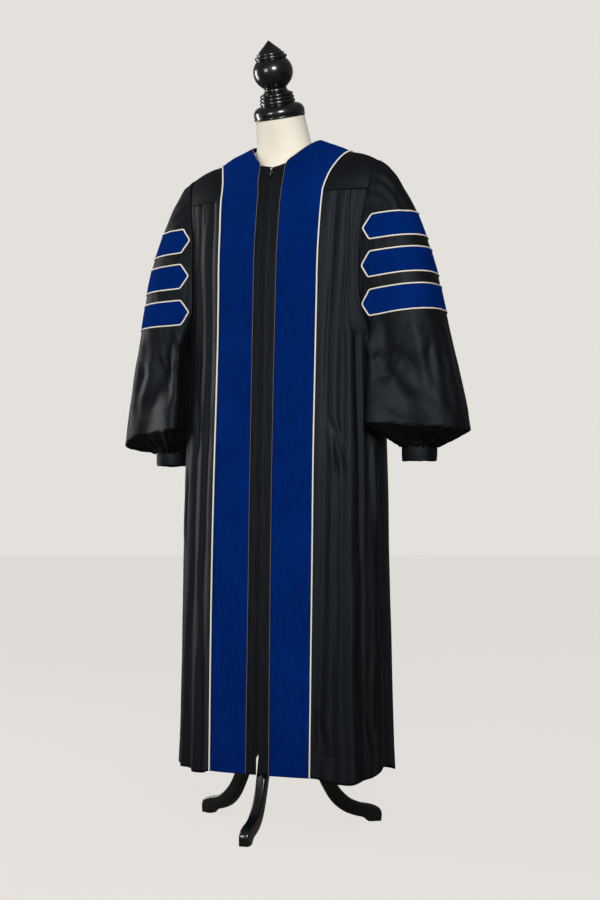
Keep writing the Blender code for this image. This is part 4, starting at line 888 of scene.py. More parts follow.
def facing_velvet(settings):
    """Royal blue cotton velvet: a short pile, dark face on and paler where it turns away."""
    made, tree, shader = new_material(
        "blue_cotton_velvet", Metallic=0.0, IOR=1.45, Roughness=0.95, Specular_IOR_Level=0.02,
        Sheen_Weight=0.30, Sheen_Roughness=0.40)
    shader.inputs["Sheen Tint"].default_value = linear("0a46b4")
    spot = add_node(tree, "ShaderNodeTexCoord")
    # the pile lies in patches a few millimetres wide and a few centimetres long
    nap_map = add_node(tree, "ShaderNodeMapping", {"Vector": spot.outputs["Object"]})
    nap_map.inputs["Scale"].default_value = (120.0, 120.0, 34.0)
    nap = add_node(tree, "ShaderNodeTexNoise", {"Vector": nap_map.outputs["Vector"]},
                   Scale=1.0, Detail=4.0, Roughness=0.62)
    cloud = add_node(tree, "ShaderNodeTexNoise", {"Vector": spot.outputs["Object"]},
                     Scale=9.0, Detail=3.0, Roughness=0.5)
    mixed = add_node(tree, "ShaderNodeMath", {0: nap.outputs["Fac"], 1: cloud.outputs["Fac"]},
                     operation="ADD")
    half = add_node(tree, "ShaderNodeMath", {0: mixed.outputs[0]}, operation="MULTIPLY")
    half.inputs[1].default_value = 0.5
    ramp = colour_ramp(tree, half.outputs[0], linear(settings.velvet_dark),
                       linear(settings.velvet_light), 0.36, 0.64)
    tree.links.new(ramp.outputs["Color"], shader.inputs["Base Color"])
    # single tufts 0.9 mm apart
    tufts = add_node(tree, "ShaderNodeTexNoise", {"Vector": spot.outputs["Object"]},
                     Scale=1100.0, Detail=1.0, Roughness=0.5)
    tuft_bump = add_node(tree, "ShaderNodeBump", {"Height": tufts.outputs["Fac"]},
                         Strength=0.35, Distance=0.0003)
    under_nap = {"Height": half.outputs[0], "Normal": tuft_bump.outputs["Normal"]}
    nap_bump = add_node(tree, "ShaderNodeBump", under_nap, Strength=0.35, Distance=0.0012)
    tree.links.new(nap_bump.outputs["Normal"], shader.inputs["Normal"])
    return made


def satin_cord(name, dark, light, turn_length):
    """Twisted rayon cord: bright strands wound round, with painted shade darkening the grooves between them.
    """
    made, tree, shader = new_material(name, Metallic=0.0, IOR=1.5, Roughness=0.48,
                                      Specular_IOR_Level=0.45, Sheen_Weight=0.15)
    spot = add_node(tree, "ShaderNodeTexCoord")
    lay = add_node(tree, "ShaderNodeMapping", {"Vector": spot.outputs["UV"]})
    lay.inputs["Rotation"].default_value = (0, 0, math.radians(38))
    strands = add_node(tree, "ShaderNodeTexWave", {"Vector": lay.outputs["Vector"]},
                       Scale=2 * math.pi / 20 / turn_length, Distortion=0.8, Detail=1.0)
    # painted shade: the colour darkens where the strands' height is low, in the grooves between them
    ramp = colour_ramp(tree, strands.outputs["Fac"], linear(dark), linear(light), 0.05, 0.55)
    tree.links.new(ramp.outputs["Color"], shader.inputs["Base Color"])
    bump = add_node(tree, "ShaderNodeBump", {"Height": strands.outputs["Fac"]}, Strength=0.7, Distance=0.0004)
    tree.links.new(bump.outputs["Normal"], shader.inputs["Normal"])
    return made


def form_jersey(settings):
    """Cream cotton jersey drawn tight over a hard form: fine ribs of stitches, no gloss."""
    made, tree, shader = new_material("cream_cotton_jersey", Metallic=0.0, IOR=1.45, Roughness=0.82,
                                      Specular_IOR_Level=0.25, Sheen_Weight=0.12)
    spot = add_node(tree, "ShaderNodeTexCoord")
    cloud = add_node(tree, "ShaderNodeTexNoise", {"Vector": spot.outputs["Object"]},
                     Scale=11.0, Detail=3.0, Roughness=0.5)
    ramp = colour_ramp(tree, cloud.outputs["Fac"], linear(settings.jersey_dark),
                       linear(settings.jersey_light))
    tree.links.new(ramp.outputs["Color"], shader.inputs["Base Color"])
    # stitches in wales 1.2 mm apart
    wales = add_node(tree, "ShaderNodeTexWave", {"Vector": spot.outputs["UV"]},
                     Scale=2 * math.pi / 20 / 0.0012, Distortion=1.2, Detail=2.0)
    bump = add_node(tree, "ShaderNodeBump", {"Height": wales.outputs["Fac"]}, Strength=0.25, Distance=0.0003)
    tree.links.new(bump.outputs["Normal"], shader.inputs["Normal"])
    return made


def black_lacquer():
    """Turned hardwood under many coats of black lacquer: a deep gloss over faint waves."""
    made, tree, shader = new_material(
        "black_lacquered_hardwood", Metallic=0.0, IOR=1.5, Base_Color=linear("0b0b0c"),
        Coat_Weight=0.7, Coat_Roughness=0.06, Coat_IOR=1.5, Specular_IOR_Level=0.4)
    spot = add_node(tree, "ShaderNodeTexCoord")
    worn = add_node(tree, "ShaderNodeTexNoise", {"Vector": spot.outputs["Object"]},
                    Scale=60.0, Detail=4.0, Roughness=0.6)
    tree.links.new(ranged(tree, worn.outputs["Fac"], 0.20, 0.38), shader.inputs["Roughness"])
    wave = add_node(tree, "ShaderNodeTexNoise", {"Vector": spot.outputs["Object"]},
                    Scale=140.0, Detail=2.0, Roughness=0.5)
    bump = add_node(tree, "ShaderNodeBump", {"Height": wave.outputs["Fac"]}, Strength=0.08, Distance=0.0004)
    tree.links.new(bump.outputs["Normal"], shader.inputs["Normal"])
    return made


def zip_plastic():
    """Moulded black nylon: dull, slightly rounded coils on a woven tape."""
    made, tree, shader = new_material("black_moulded_nylon", Metallic=0.0, IOR=1.53,
                                      Base_Color=linear("141518"), Specular_IOR_Level=0.4)
    spot = add_node(tree, "ShaderNodeTexCoord")
    grain = add_node(tree, "ShaderNodeTexNoise", {"Vector": spot.outputs["Object"]},
                     Scale=900.0, Detail=2.0, Roughness=0.5)
    tree.links.new(ranged(tree, grain.outputs["Fac"], 0.34, 0.52), shader.inputs["Roughness"])
    bump = add_node(tree, "ShaderNodeBump", {"Height": grain.outputs["Fac"]}, Strength=0.15, Distance=0.0002)
    tree.links.new(bump.outputs["Normal"], shader.inputs["Normal"])
    return made


def slider_nickel(name, colour, rough_low, rough_high):
    """Die-cast zinc with a dark nickel plate, rubbed brighter in places."""
    made, tree, shader = new_material(name, Metallic=1.0, Base_Color=linear(colour))
    spot = add_node(tree, "ShaderNodeTexCoord")
    rub = add_node(tree, "ShaderNodeTexNoise", {"Vector": spot.outputs["Object"]},
                   Scale=420.0, Detail=3.0, Roughness=0.6)
    tree.links.new(ranged(tree, rub.outputs["Fac"], rough_low, rough_high), shader.inputs["Roughness"])
    bump = add_node(tree, "ShaderNodeBump", {"Height": rub.outputs["Fac"]}, Strength=0.1, Distance=0.0001)
    tree.links.new(bump.outputs["Normal"], shader.inputs["Normal"])
    return made


def plain_floor(settings):
    """Matt painted studio floor, lit evenly enough to meet the backdrop without a line."""
    made, tree, shader = new_material("pale_matt_paint", Metallic=0.0, Roughness=0.95, Specular_IOR_Level=0.0)
    spot = add_node(tree, "ShaderNodeTexCoord")
    cloud = add_node(tree, "ShaderNodeTexNoise", {"Vector": spot.outputs["Object"]}, Scale=0.8, Detail=2.0)
    ramp = colour_ramp(tree, cloud.outputs["Fac"], linear("4a4845"), linear("4c4a48"))
    tree.links.new(ramp.outputs["Color"], shader.inputs["Base Color"])
    shader.inputs["Emission Color"].default_value = (*settings.world_colour, 1.0)
    path = add_node(tree, "ShaderNodeLightPath")
    glow = ranged(tree, path.outputs["Is Camera Ray"], 0.05, 0.935)
    tree.links.new(glow, shader.inputs["Emission Strength"])
    return made


MADE = {}


def finish_named(kind):
    """Each finish is made once, from the panel's colours."""
    settings = bpy.context.scene.gown_settings
    makers = {
        "cloth": lambda: gown_cloth(settings),
        "velvet": lambda: facing_velvet(settings),
        # each cord's first colour is painted shade for the grooves between its strands
        "cord": lambda: satin_cord("cream_rayon_cord", "cfc2a2", settings.cord_colour, 0.0022),
        "edging": lambda: satin_cord("bronze_thread_edging", "4a3524", "8a6c48", 0.0009),
        "jersey": lambda: form_jersey(settings),
        "lacquer": black_lacquer,
        "nylon": zip_plastic,
        "slider": lambda: slider_nickel("black_nickel_slider", "3a3c40", 0.28, 0.42),
        "pull": lambda: slider_nickel("dark_nickel_pull", "9a9ca0", 0.24, 0.38),
        "floor": lambda: plain_floor(settings),
    }
    if kind not in MADE:
        MADE[kind] = makers[kind]()
    return MADE[kind]


# ---------------------------------------------------------------- settings
class GownSettings(bpy.types.PropertyGroup):
    cloth_dark: StringProperty(name="Cloth, dark", description="Black cloth in its darker patches",
                               default="060809")
    cloth_light: StringProperty(name="Cloth, light", description="Black cloth in its paler patches",
                                default="090b0f")
    velvet_dark: StringProperty(name="Velvet, dark", description="Velvet where the pile stands up",
                                default="001c55")
    velvet_light: StringProperty(name="Velvet, light", description="Velvet where the pile lies over",
                                 default="002468")
    cord_colour: StringProperty(name="Cord", description="Bright side of the cord's strands",
                                default="f8f1e2")
    jersey_dark: StringProperty(name="Jersey, dark", description="Jersey in its darker patches",
                                default="e9dfcc")
    jersey_light: StringProperty(name="Jersey, light", description="Jersey in its paler patches",
                                 default="f1e9da")
    detail: FloatProperty(name="Detail", description="Fineness of the cloth's grids, 1 as made",
                          default=1.0, min=0.3, max=1.5)
    key_power: FloatProperty(name="Key light", description="Power of the large overhead light",
                             default=138.0, min=0.0, unit="POWER")
    world_colour: FloatVectorProperty(name="Backdrop", description="Colour seen round the object",
                                      default=(0.777, 0.752, 0.716), subtype="COLOR", size=3)


def fineness(rows, cols):
    """Grid counts at the chosen detail."""
    detail = bpy.context.scene.gown_settings.detail * 1.0
    return max(8, int(rows * detail)), max(8, int(cols * detail))


# ---------------------------------------------------------------- the pieces
class GOWN_OT_fronts(bpy.types.Operator):
    """Two front panels, pleated under the yoke seam"""
    bl_idname = "gown.fronts"
    bl_label = "Front Panels"

    def execute(self, context):
        rows, cols = fineness(220, 106)
        for side, sign in SIDES:
            u, v = look_up(rows, cols)
            z = HEM_Z + (YOKE_Z - HEM_Z) * v
            points = front_points(side, u, z)
            points[..., 0] *= sign
            piece = cloth("front_cloth_" + side, points, (0.42, 1.27), finish_named("cloth"), flip=sign < 0)
            sewn(piece, "black_cloth", "gown_front_" + side)
        return {"FINISHED"}


class GOWN_OT_back(bpy.types.Operator):
    """One back panel, fluted under the back yoke seam"""
    bl_idname = "gown.back"
    bl_label = "Back Panel"

    def execute(self, context):
        rows, cols = fineness(160, 196)
        u, v = look_up(rows, cols)
        z = HEM_Z + (BACK_YOKE_Z - HEM_Z) * v
        points = back_points(u, z)
        piece = cloth("back_cloth", points, (0.80, 1.24), finish_named("cloth"))
        sewn(piece, "black_cloth", "gown_back")
        return {"FINISHED"}


class GOWN_OT_yoke(bpy.types.Operator):
    """The yoke over both shoulders and round the back neck"""
    bl_idname = "gown.yoke"
    bl_label = "Yoke"

    def execute(self, context):
        rows, cols = fineness(108, 76)
        u, v = look_up(rows, cols)
        half = yoke_points(u, v * YOKE_ROWS)
        rest = half[:-1][::-1] * np.array([-1.0, 1.0, 1.0])
        piece = cloth("yoke_cloth", np.concatenate([half, rest]), (0.24, 0.9), finish_named("cloth"))
        sewn(piece, "black_cloth", "gown_yoke")
        return {"FINISHED"}


def placket_points(across, along):
    """The strip between the zip and the velvet; along is 0 at the hem, 1 at the neck."""
    z = HEM_Z + (YOKE_Z - HEM_Z) * np.clip(along / PLACKET_SPLIT, 0, 1)
    edge = smooth(FACING, z, 1)
    x = CHAIN_HALF + 0.0003 + (edge - CHAIN_HALF - 0.0003) * across
    low = body_ring(turn_at(x, z), z)
    # above the yoke seam the strip bends back to the neckline, dipping to the zip
    top = np.clip((along - PLACKET_SPLIT) / (1 - PLACKET_SPLIT), 0, 1) * 2.0
    neck = yoke_points(np.zeros_like(top), top)
    share = (CHAIN_HALF + 0.0003) / neck[..., 0] + (1 - (CHAIN_HALF + 0.0003) / neck[..., 0]) * across
    dip = np.interp(top, [0, 1, 2], [0, 0.003, 0.0075]) * (1 - share)
    high = np.stack([neck[..., 0] * share, neck[..., 1] - 0.0012 * (1 - share) * np.clip(top, 0, 1),
                     neck[..., 2] - dip], axis=-1)
    return np.where((along < PLACKET_SPLIT)[..., None], low, high)


PLACKET_SPLIT = 0.945


class GOWN_OT_plackets(bpy.types.Operator):
    """Narrow black strips beside the zip, each folded to a crisp edge"""
    bl_idname = "gown.plackets"
    bl_label = "Placket Strips"

    def execute(self, context):
        rows, cols = fineness(260, 22)
        for side, sign in SIDES:
            u, v = look_up(rows, cols)
            points = placket_points(u, v)
            face = normals(points)
            lip = np.exp(-((u - 0.03) / 0.07) ** 2) * 0.0009      # the fold stands up by the zip
            stitch = -np.exp(-((u - 0.42) / 0.03) ** 2) * 0.0005  # the row of stitches that holds it
            waver = 0.0004 * ripple(u * 2, v * 22, 140 + int(sign))
            points = points + face * (lip + stitch + waver * np.clip(u / 0.2, 0, 1))[..., None]
            points[..., 0] *= sign
            piece = cloth("placket_strip_" + side, points, (0.026, 1.34), finish_named("cloth"),
                          flip=sign < 0)
            sewn(piece, "black_cloth", "placket_" + side)
        return {"FINISHED"}


class GOWN_OT_velvet(bpy.types.Operator):
    """Velvet facings from hem to shoulder and round the back neck"""
    bl_idname = "gown.velvet"
    bl_label = "Velvet Facings"

    def execute(self, context):
        rows, cols = fineness(420, 26)
        for side, sign in SIDES:
            u, v = look_up(rows, cols)
            v = v * (1.0 - 0.0006)
            points = facing_points(u, v)
            face = normals(points)
            rolled = (np.abs(2 * u - 1)) ** 14       # the pile rolls down at both edges
            puff = 0.0006 * ripple(u * 2.4, v * 26, 150 + int(sign)) * (1 - rolled)
            points = points + face * (VELVET_HIGH - 0.0011 * rolled + puff)[..., None]
            points[..., 0] *= sign
            piece = cloth("velvet_" + side, points, (0.094, 1.62), finish_named("velvet"),
                          thick=0.0016, flip=sign < 0)
            sewn(piece, "blue_velvet", "velvet_facing_" + side)
        return {"FINISHED"}


class GOWN_OT_facing_cords(bpy.types.Operator):
    """Cream cord on each facing's outer edge, bronze thread on its inner edge"""
    bl_idname = "gown.facing_cords"
    bl_label = "Facing Cords"

    def execute(self, context):
        v = np.linspace(0, 0.9995, 640)
        for side, sign in SIDES:
            flip = np.array([sign, 1.0, 1.0])
            across_strip, along_strip = look_up(640, 9)
            strip = facing_points(across_strip, along_strip * 0.9995)
            face = normals(strip)
            across = unit(strip[:, -1] - strip[:, -2])
            path = strip[:, -1] + across * (PIPING_R + 0.0002) + face[:, -1] * (PIPING_R + 0.0009)
            path[-1, 0] = 0.0004
            piece = cord_tube("facing_cord_" + side, path * flip, face[:, -1] * flip, PIPING_R,
                              finish_named("cord"), sides=10)
            sewn(piece, "cream_cord", "piping_front_" + side)
            inner = v < 0.99
            across = unit(strip[inner, 0] - strip[inner, 1])
            path = strip[inner, 0] + across * (EDGING_R * 0.5) + face[inner, 0] * 0.0018
            edge = cord_tube("facing_edging_" + side, path * flip, face[inner, 0] * flip, EDGING_R,
                             finish_named("edging"), sides=6)
            sewn(edge, "cream_cord")
        return {"FINISHED"}


class GOWN_OT_sleeves(bpy.types.Operator):
    """Full sleeves, gathered at the shoulder and turned under to the cuff"""
    bl_idname = "gown.sleeves"
    bl_label = "Sleeves"

    def execute(self, context):
        rows, cols = fineness(170, 162)
        for side, sign in SIDES:
            u, v = look_up(rows, cols)
            points = sleeve_points(side, u, v * SLEEVE_END)
            points[:, -1] = points[:, 0]
            points[..., 0] *= sign
            piece = cloth("sleeve_cloth_" + side, points, (0.56, 0.68), finish_named("cloth"), wrap=True,
                          flip=sign > 0)
            sewn(piece, "black_cloth", "sleeve_" + side)
        return {"FINISHED"}


class GOWN_OT_cuffs(bpy.types.Operator):
    """Small open cuffs inside the sleeves' lower folds"""
    bl_idname = "gown.cuffs"
    bl_label = "Cuffs"

    def execute(self, context):
        rows, cols = fineness(28, 128)
        for side, sign in SIDES:
            u, v = look_up(rows, cols)
            angle = 2 * math.pi * u
            swell = 0.0008 * np.sin(math.pi * v) + 0.0007 * np.sin(17 * angle) * v**2
            hem = 0.0006 * np.exp(-((v - 0.12) / 0.03) ** 2)
            reach = CUFF_R + swell - hem - 0.0006
            z = CUFF_BOTTOM + (CUFF_TOP - CUFF_BOTTOM) * v + 0.0012 * ripple(u * 8, 0 * v, 170) * (1 - v)
            points = np.stack([CUFF_X + reach * np.sin(angle), CUFF_Y - reach * np.cos(angle), z], axis=-1)
            points[:, -1] = points[:, 0]
            points = filled_out(side, points)
            points[..., 0] *= sign
            piece = cloth("cuff_band_" + side, points, (0.236, 0.041), finish_named("cloth"), wrap=True,
                          thick=0.0016, flip=sign < 0)
            sewn(piece, "black_cloth", "cuff_" + side)
        return {"FINISHED"}


def bar_band(side, level):
    """The sleeve's own surface under one bar, cut level with pointed ends."""
    cols, rows = 220, 90
    u, v = look_up(rows, cols)
    points = sleeve_points(side, u, v * SLEEVE_LAST)
    points[:, -1] = points[:, 0]
    bm = laid_grid(points, (0.56, 0.5), wrap=True)
    slope, tilt = BAR_TAPER / BAR_HALF_HEIGHT, BAR_TILT[side]
    tip = (BAR_TIP_X, 0, level + tilt * (BAR_TIP_X - BAR_TILT_X))
    for spot, way in (((BAR_TILT_X, 0, level + BAR_HALF_HEIGHT), (-tilt, 0, 1)),
                      ((BAR_TILT_X, 0, level - BAR_HALF_HEIGHT), (tilt, 0, -1)),
                      (tip, (-1, 0, slope)), (tip, (-1, 0, -slope))):
        bmesh.ops.bisect_plane(bm, geom=bm.verts[:] + bm.edges[:] + bm.faces[:], dist=1e-6,
                               plane_co=spot, plane_no=way, clear_outer=True)
    bmesh.ops.remove_doubles(bm, verts=bm.verts[:], dist=0.0004)
    bm.normal_update()
    middle = Vector((0.29, 0.01, level))
    if sum(f.normal.dot(f.calc_center_median() - middle) for f in bm.faces) < 0:
        bmesh.ops.reverse_faces(bm, faces=bm.faces[:])
        bm.normal_update()
    return bm


def band_outline(bm):
    """The band's edge as points and outward normals, in order."""
    after = {}
    for edge in bm.edges:
        if edge.is_boundary:
            for loop in edge.link_loops:
                after[loop.vert] = loop.link_loop_next.vert
    start = max(after, key=lambda v: v.co.z)
    run = [start]
    while after[run[-1]] is not start:
        run.append(after[run[-1]])
    return np.array([v.co[:] for v in run]), np.array([v.normal[:] for v in run])


def evenly(points, step):
    """A closed run of points again, step apart, with the arrays that go with them."""
    ring = np.concatenate([points[0], points[0][:1]])
    run = np.concatenate([[0], np.cumsum(np.linalg.norm(np.diff(ring, axis=0), axis=1))])
    at = np.linspace(0, run[-1], max(12, round(run[-1] / step)), endpoint=False)
    out = []
    for values in points:
        closed = np.concatenate([values, values[:1]])
        out.append(np.stack([np.interp(at, run, closed[:, k]) for k in range(3)], axis=1))
    return out


class GOWN_OT_bars(bpy.types.Operator):
    """Three velvet bars round each sleeve, edged with cord"""
    bl_idname = "gown.bars"
    bl_label = "Sleeve Bars"

    def execute(self, context):
        for side, sign in SIDES:
            for number, level in enumerate(BAR_LEVELS, 1):
                self.bar(side, sign, number, level)
        return {"FINISHED"}

    def bar(self, side, sign, number, level):
        name = "%s_%d" % (side, number)
        bm = bar_band(side, level)
        edge, outward = band_outline(bm)
        edge, outward = evenly([edge, outward], 0.0022)
        outward = unit(outward)
        moved = {v: v.co + v.normal * (BAR_LIFT + BAR_WALL) for v in bm.verts}
        for v, place in moved.items():
            v.co = (place.x * sign, place.y + MIDDLE_Y, place.z)
        if sign < 0:
            bmesh.ops.reverse_faces(bm, faces=bm.faces[:])
        piece = linked("bar_velvet_" + name, bm, finish_named("velvet"))
        shell = piece.modifiers.new("thickness", "SOLIDIFY")
        shell.thickness, shell.offset = BAR_WALL, -1.0
        sewn(piece, "blue_velvet", "bar_" + name)
        ahead, behind = np.roll(edge, -1, 0), np.roll(edge, 1, 0)
        way = unit(ahead - behind)
        away = unit(np.cross(way, outward))
        path = edge + away * (PIPING_R * 0.55) + outward * (PIPING_R + 0.0009)
        for _ in range(2):
            path = (np.roll(path, 1, 0) + 2 * path + np.roll(path, -1, 0)) / 4
        flip = np.array([sign, 1.0, 1.0])
        cord = cord_tube("bar_cord_" + name, path * flip, outward * flip, PIPING_R,
                         finish_named("cord"), closed=True)
        sewn(cord, "cream_cord", "piping_bar_" + name)


def zip_middle(along):
    """The zip's centre line, from where the slit ends up to the neck."""
    start = (ZIP_OPEN_Z - HEM_Z) / (YOKE_Z - HEM_Z) * PLACKET_SPLIT
    v = start + (1 - start) * along
    left = placket_points(np.zeros_like(v), v)
    return left * np.array([0.0, 1.0, 1.0])


class GOWN_OT_zip(bpy.types.Operator):
    """Zip tape with its coil of small teeth, and the slider with its pull tab"""
    bl_idname = "gown.zip"
    bl_label = "Zip"
    pitch = 0.0021
    tooth = (0.0021, 0.0011, 0.0012)       # across, out of the cloth, along the zip

    def execute(self, context):
        self.tape()
        self.teeth()
        for node, kind in (("zip_slider", "slider"), ("zip_pull", "pull")):
            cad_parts[node].data.materials.clear()
            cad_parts[node].data.materials.append(finish_named(kind))
        return {"FINISHED"}

    def tape(self):
        u, v = look_up(260, 7)
        middle = zip_middle(v * 0.985)
        half = CHAIN_HALF + 0.0030
        points = middle + np.stack([(2 * u - 1) * half, 0 * u + 0.0012, 0 * u], axis=-1)
        piece = cloth("zip_tape", points, (2 * half, 1.3), finish_named("cloth"), thick=0.0006)
        sewn(piece, "zip_black", "zip_chain")

    def teeth(self):
        path = zip_middle(np.linspace(0.004, 0.945, 1200))
        run = np.concatenate([[0], np.cumsum(np.linalg.norm(np.diff(path, axis=0), axis=1))])
        count = int(run[-1] / self.pitch)
        at = np.linspace(0, run[-1], count)
        spots = shifted(np.stack([np.interp(at, run, path[:, k]) for k in range(3)], axis=1))
        ways = unit(np.gradient(spots, axis=0))
        bm = bmesh.new()
        for n, (spot, way) in enumerate(zip(spots, ways)):
            side = 1 if n % 2 else -1
            out = Vector((0, -way[2], way[1])).normalized()
            made = bmesh.ops.create_cube(bm, size=1.0)["verts"]
            bmesh.ops.scale(bm, vec=self.tooth, verts=made)
            turn = Matrix((Vector((1, 0, 0)), out, Vector(way))).transposed().to_4x4()
            place = Matrix.Translation(Vector(spot) + Vector((side * 0.0008, 0, 0)) + out * 0.0001)
            bmesh.ops.transform(bm, matrix=place @ turn, verts=made)
        sharp = [e for e in bm.edges]
        bmesh.ops.bevel(bm, geom=sharp, offset=0.00022, segments=1, profile=0.5, affect="EDGES", material=-1)
        bmesh.ops.recalc_face_normals(bm, faces=bm.faces[:])
        sewn(linked("zip_coil", bm, finish_named("nylon")), "zip_black")


def form_ring(z, angle):
    """Torso points at heights and angles; a neck joined to a pair of shoulders."""
    y_mid, wide, front, back, tilt, neck_w, neck_d = (smooth(TORSO, z, k) for k in range(1, 8))
    x, y = wide * np.sin(angle), -np.cos(angle)
    y = y * np.where(y < 0, front, back)
    # the neck's ring is drawn at even angles, the shoulders' squashed ones at the same points
    even = np.arctan2(np.sin(angle) * 0.5 * (wide + neck_w), -np.cos(angle) * 0.5 * (front + neck_d))
    way_x, way_y = np.sin(even), np.cos(even)
    depth = np.where(way_y < 0, front, back)
    shoulder = 1.0 / np.hypot(way_x / wide, way_y / depth)
    neck = 1.0 / np.hypot(way_x / neck_w, way_y / neck_d)
    soft = 0.004                              # radius of the hollow where neck meets shoulder
    joined = np.logaddexp(shoulder / soft, neck / soft) * soft
    eased = joined - soft * 0.69 * np.exp(-np.abs(shoulder - neck) / soft)
    joined = np.maximum(eased, np.maximum(shoulder, neck))
    t = np.radians(tilt)
    y = way_y * joined
    return np.stack([way_x * joined, y * np.cos(t) + y_mid, z + y * np.sin(t)], axis=-1)


class GOWN_OT_form(bpy.types.Operator):
    """The covered torso and neck of the dress form"""
    bl_idname = "gown.form"
    bl_label = "Dress Form"

    def execute(self, context):
        rows, cols = fineness(200, 120)
        u, v = look_up(rows, cols)
        # closer rings from the shoulders up, where the form shows
        z = np.interp(v, [0, 0.30, 1.0], [TORSO[0, 0], 1.40, TORSO[-1, 0]])
        points = form_ring(z, 2 * math.pi * u)
        points[:, -1] = points[:, 0]
        bm = laid_grid(shifted(points), (0.9, 0.8), wrap=True)
        bmesh.ops.holes_fill(bm, edges=[e for e in bm.edges if e.is_boundary], sides=0)
        bmesh.ops.recalc_face_normals(bm, faces=bm.faces[:])
        sewn(linked("form_cover", bm, finish_named("jersey")), "cream_jersey", "form_torso")
        return {"FINISHED"}


class GOWN_OT_cap(bpy.types.Operator):
    """The turned neck cap: disc, three rings, ball and finial"""
    bl_idname = "gown.cap"
    bl_label = "Neck Cap"

    def execute(self, context):
        place = (Matrix.Translation((0.0, CAP_Y + MIDDLE_Y, CAP_Z))
                 @ Matrix.Rotation(math.radians(NECK_TILT), 4, "X"))
        profile = [(0.0, 0.0)] + CAP
        sewn(spun("cap_turning", profile, finish_named("lacquer"), place), "black_lacquer", "form_cap")
        # the cover's bound edge shows as a thin brown line under the disc
        angle = np.linspace(0, 2 * math.pi, 121)[:-1]
        t = math.radians(NECK_TILT)
        ring = np.stack([0.0560 * np.sin(angle), CAP_Y - 0.0560 * np.cos(angle) * math.cos(t),
                         CAP_Z - 0.0560 * np.cos(angle) * math.sin(t) - 0.0006], axis=-1)
        away = unit(ring - np.array([0.0, CAP_Y, CAP_Z]))
        sewn(cord_tube("neck_binding", ring, away, 0.0009, finish_named("edging"), sides=6, closed=True),
             "cream_jersey")
        return {"FINISHED"}


def board_outline():
    """The leg's outline as one closed run, smooth along its top and its underside."""
    top = through(np.array(LEG_TOP), np.linspace(0, len(LEG_TOP) - 1, 5 * (len(LEG_TOP) - 1) + 1))
    under = through(np.array(LEG_UNDER), np.linspace(0, len(LEG_UNDER) - 1, 5 * (len(LEG_UNDER) - 1) + 1))
    run = np.concatenate([top, under])
    run[:, 1] = np.maximum(run[:, 1], 0.0)
    return run


class GOWN_OT_stand(bpy.types.Operator):
    """The turned pole and hub with three curved legs"""
    bl_idname = "gown.stand"
    bl_label = "Stand"

    def execute(self, context):
        middle = Matrix.Translation((STAND_X, STAND_Y + MIDDLE_Y, 0.0))
        lacquer = finish_named("lacquer")
        sewn(spun("pole_turning", POLE, lacquer, middle, steps=48, refine=1), "black_lacquer", "stand_pole")
        sewn(spun("hub_turning", HUB, lacquer, middle, steps=72, refine=1), "black_lacquer", "stand_hub")
        for name, extra in (("front", 0.0), ("left", 120.0), ("right", 240.0)):
            place = middle @ Matrix.Rotation(math.radians(LEG_TURN + extra - 90.0), 4, "Z")
            sewn(self.leg("leg_board_" + name, place, lacquer), "black_lacquer", "stand_leg_" + name)
        return {"FINISHED"}

    def leg(self, name, place, material):
        bm = bmesh.new()
        board = [bm.verts.new((r, -LEG_BOARD / 2, z)) for r, z in board_outline()]
        face = bm.faces.new(board)
        pulled = bmesh.ops.extrude_face_region(bm, geom=[face])
        moved = [v for v in pulled["geom"] if isinstance(v, bmesh.types.BMVert)]
        bmesh.ops.translate(bm, vec=(0.0, LEG_BOARD, 0.0), verts=moved)
        bmesh.ops.recalc_face_normals(bm, faces=bm.faces[:])
        rounded = [e for e in bm.edges if abs(e.verts[0].co.y - e.verts[1].co.y) < 1e-6
                   and max(e.verts[0].co.x, e.verts[1].co.x) > 0.036
                   and max(e.verts[0].co.z, e.verts[1].co.z) > 0.0005]
        bmesh.ops.bevel(bm, geom=rounded, offset=LEG_EDGE, segments=4, profile=0.5, affect="EDGES",
                        offset_type="OFFSET", clamp_overlap=True, material=-1)
        bmesh.ops.transform(bm, matrix=place, verts=bm.verts[:])
        piece = linked(name, bm, material, smooth_shade=False)
        piece.data.shade_smooth()
        piece.data.set_sharp_from_angle(angle=math.radians(38))
        return piece


# ---------------------------------------------------------------- stage
CAMERA_PLACE = (1.523, -3.0059, 0.65)
CAMERA_TURN = 26.0
CAMERA_UP = 3.1
CAMERA_LENS = 60.7
#   name       place                 aim                size          share of the key light
LIGHTS = [
    ("key", (2.0, -3.3, 2.3), (0.0, 0.0, 1.05), (1.1, 0.9), 1.00),
    ("window", (-3.1, 0.0, 1.5), (0.0, 0.0, 1.0), (0.7, 1.9), 0.36),
    ("fill", (-0.9, -3.6, 1.6), (0.0, 0.0, 1.0), (1.0, 1.0), 0.26),
]


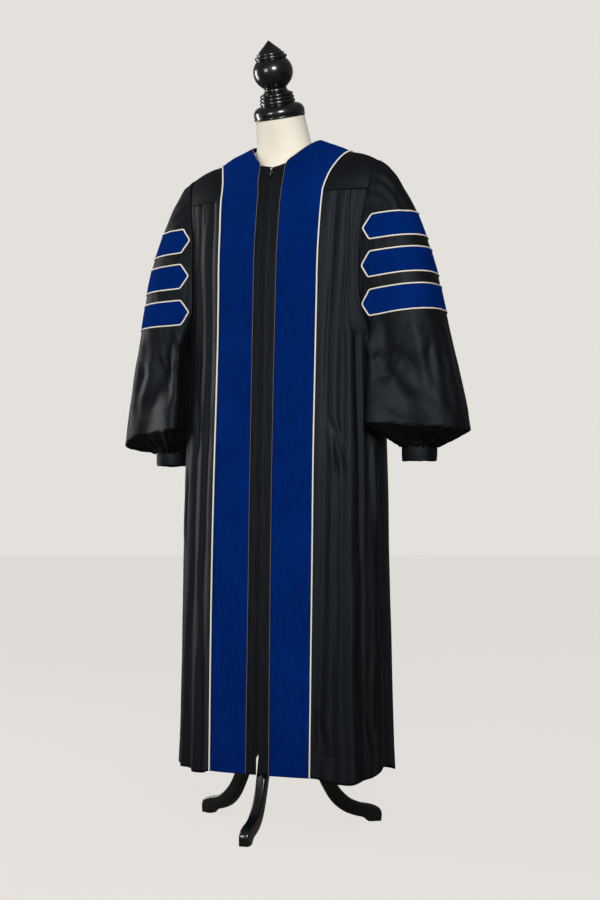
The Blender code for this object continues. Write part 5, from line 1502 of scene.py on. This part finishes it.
class GOWN_OT_stage(bpy.types.Operator):
    """Pale floor, soft lights, even surroundings and the camera"""
    bl_idname = "gown.stage"
    bl_label = "Stage"

    def execute(self, context):
        settings = context.scene.gown_settings
        bm = bmesh.new()
        bmesh.ops.create_circle(bm, cap_ends=True, segments=96, radius=40.0)
        floor = linked("floor", bm, finish_named("floor"), smooth_shade=False)
        for name, place, aim, size, share in LIGHTS:
            light = bpy.data.lights.new(name, "AREA")
            light.shape = "RECTANGLE"
            light.size, light.size_y = size
            light.energy = settings.key_power * share
            holder = bpy.data.objects.new(name, light)
            holder.location = place
            holder.rotation_euler = (Vector(aim) - Vector(place)).to_track_quat("-Z", "Y").to_euler()
            context.scene.collection.objects.link(holder)
        self.surroundings(context, settings)
        lens = bpy.data.cameras.new("camera")
        lens.lens, lens.sensor_width = CAMERA_LENS, 36.0
        lens.clip_end = 100.0
        camera = bpy.data.objects.new("camera", lens)
        camera.location = CAMERA_PLACE
        camera.rotation_euler = (math.radians(90 + CAMERA_UP), 0.0, math.radians(CAMERA_TURN))
        context.scene.collection.objects.link(camera)
        context.scene.camera = camera
        return {"FINISHED"}

    def surroundings(self, context, settings):
        """A pale backdrop to look at, and a dimmer even light from it."""
        world = bpy.data.worlds.new("pale_studio")
        world.use_nodes = True
        tree = world.node_tree
        tree.nodes.clear()
        colour = (*settings.world_colour, 1.0)
        seen = add_node(tree, "ShaderNodeBackground", Color=colour, Strength=1.0)
        cast = add_node(tree, "ShaderNodeBackground", Color=colour, Strength=0.18)
        path = add_node(tree, "ShaderNodeLightPath")
        mix = add_node(tree, "ShaderNodeMixShader", {0: path.outputs["Is Camera Ray"], 1: cast.outputs[0],
                                                     2: seen.outputs[0]})
        add_node(tree, "ShaderNodeOutputWorld", {"Surface": mix.outputs[0]})
        context.scene.world = world
        context.scene.view_settings.view_transform = "Standard"


PIECES = [GOWN_OT_fronts, GOWN_OT_back, GOWN_OT_yoke, GOWN_OT_plackets, GOWN_OT_velvet,
          GOWN_OT_facing_cords, GOWN_OT_sleeves, GOWN_OT_cuffs, GOWN_OT_bars, GOWN_OT_zip,
          GOWN_OT_form, GOWN_OT_cap, GOWN_OT_stand, GOWN_OT_stage]


class GOWN_PT_panel(bpy.types.Panel):
    """Lists the gown's pieces in the order they are made"""
    bl_idname = "GOWN_PT_panel"
    bl_label = "Graduation Gown"
    bl_space_type = "VIEW_3D"
    bl_region_type = "UI"
    bl_category = "Gown"

    def draw(self, context):
        settings = context.scene.gown_settings
        for key in GownSettings.__annotations__:
            self.layout.prop(settings, key)
        for piece in PIECES:
            self.layout.operator(piece.bl_idname)


CLASSES = [GownSettings, *PIECES, GOWN_PT_panel]


def register():
    for item in CLASSES:
        bpy.utils.register_class(item)
    bpy.types.Scene.gown_settings = PointerProperty(type=GownSettings)


def unregister():
    del bpy.types.Scene.gown_settings
    for item in reversed(CLASSES):
        bpy.utils.unregister_class(item)


def main():
    register()
    for piece in PIECES:
        group, action = piece.bl_idname.split(".")
        getattr(getattr(bpy.ops, group), action)()


if __name__ == "__main__":
    main()
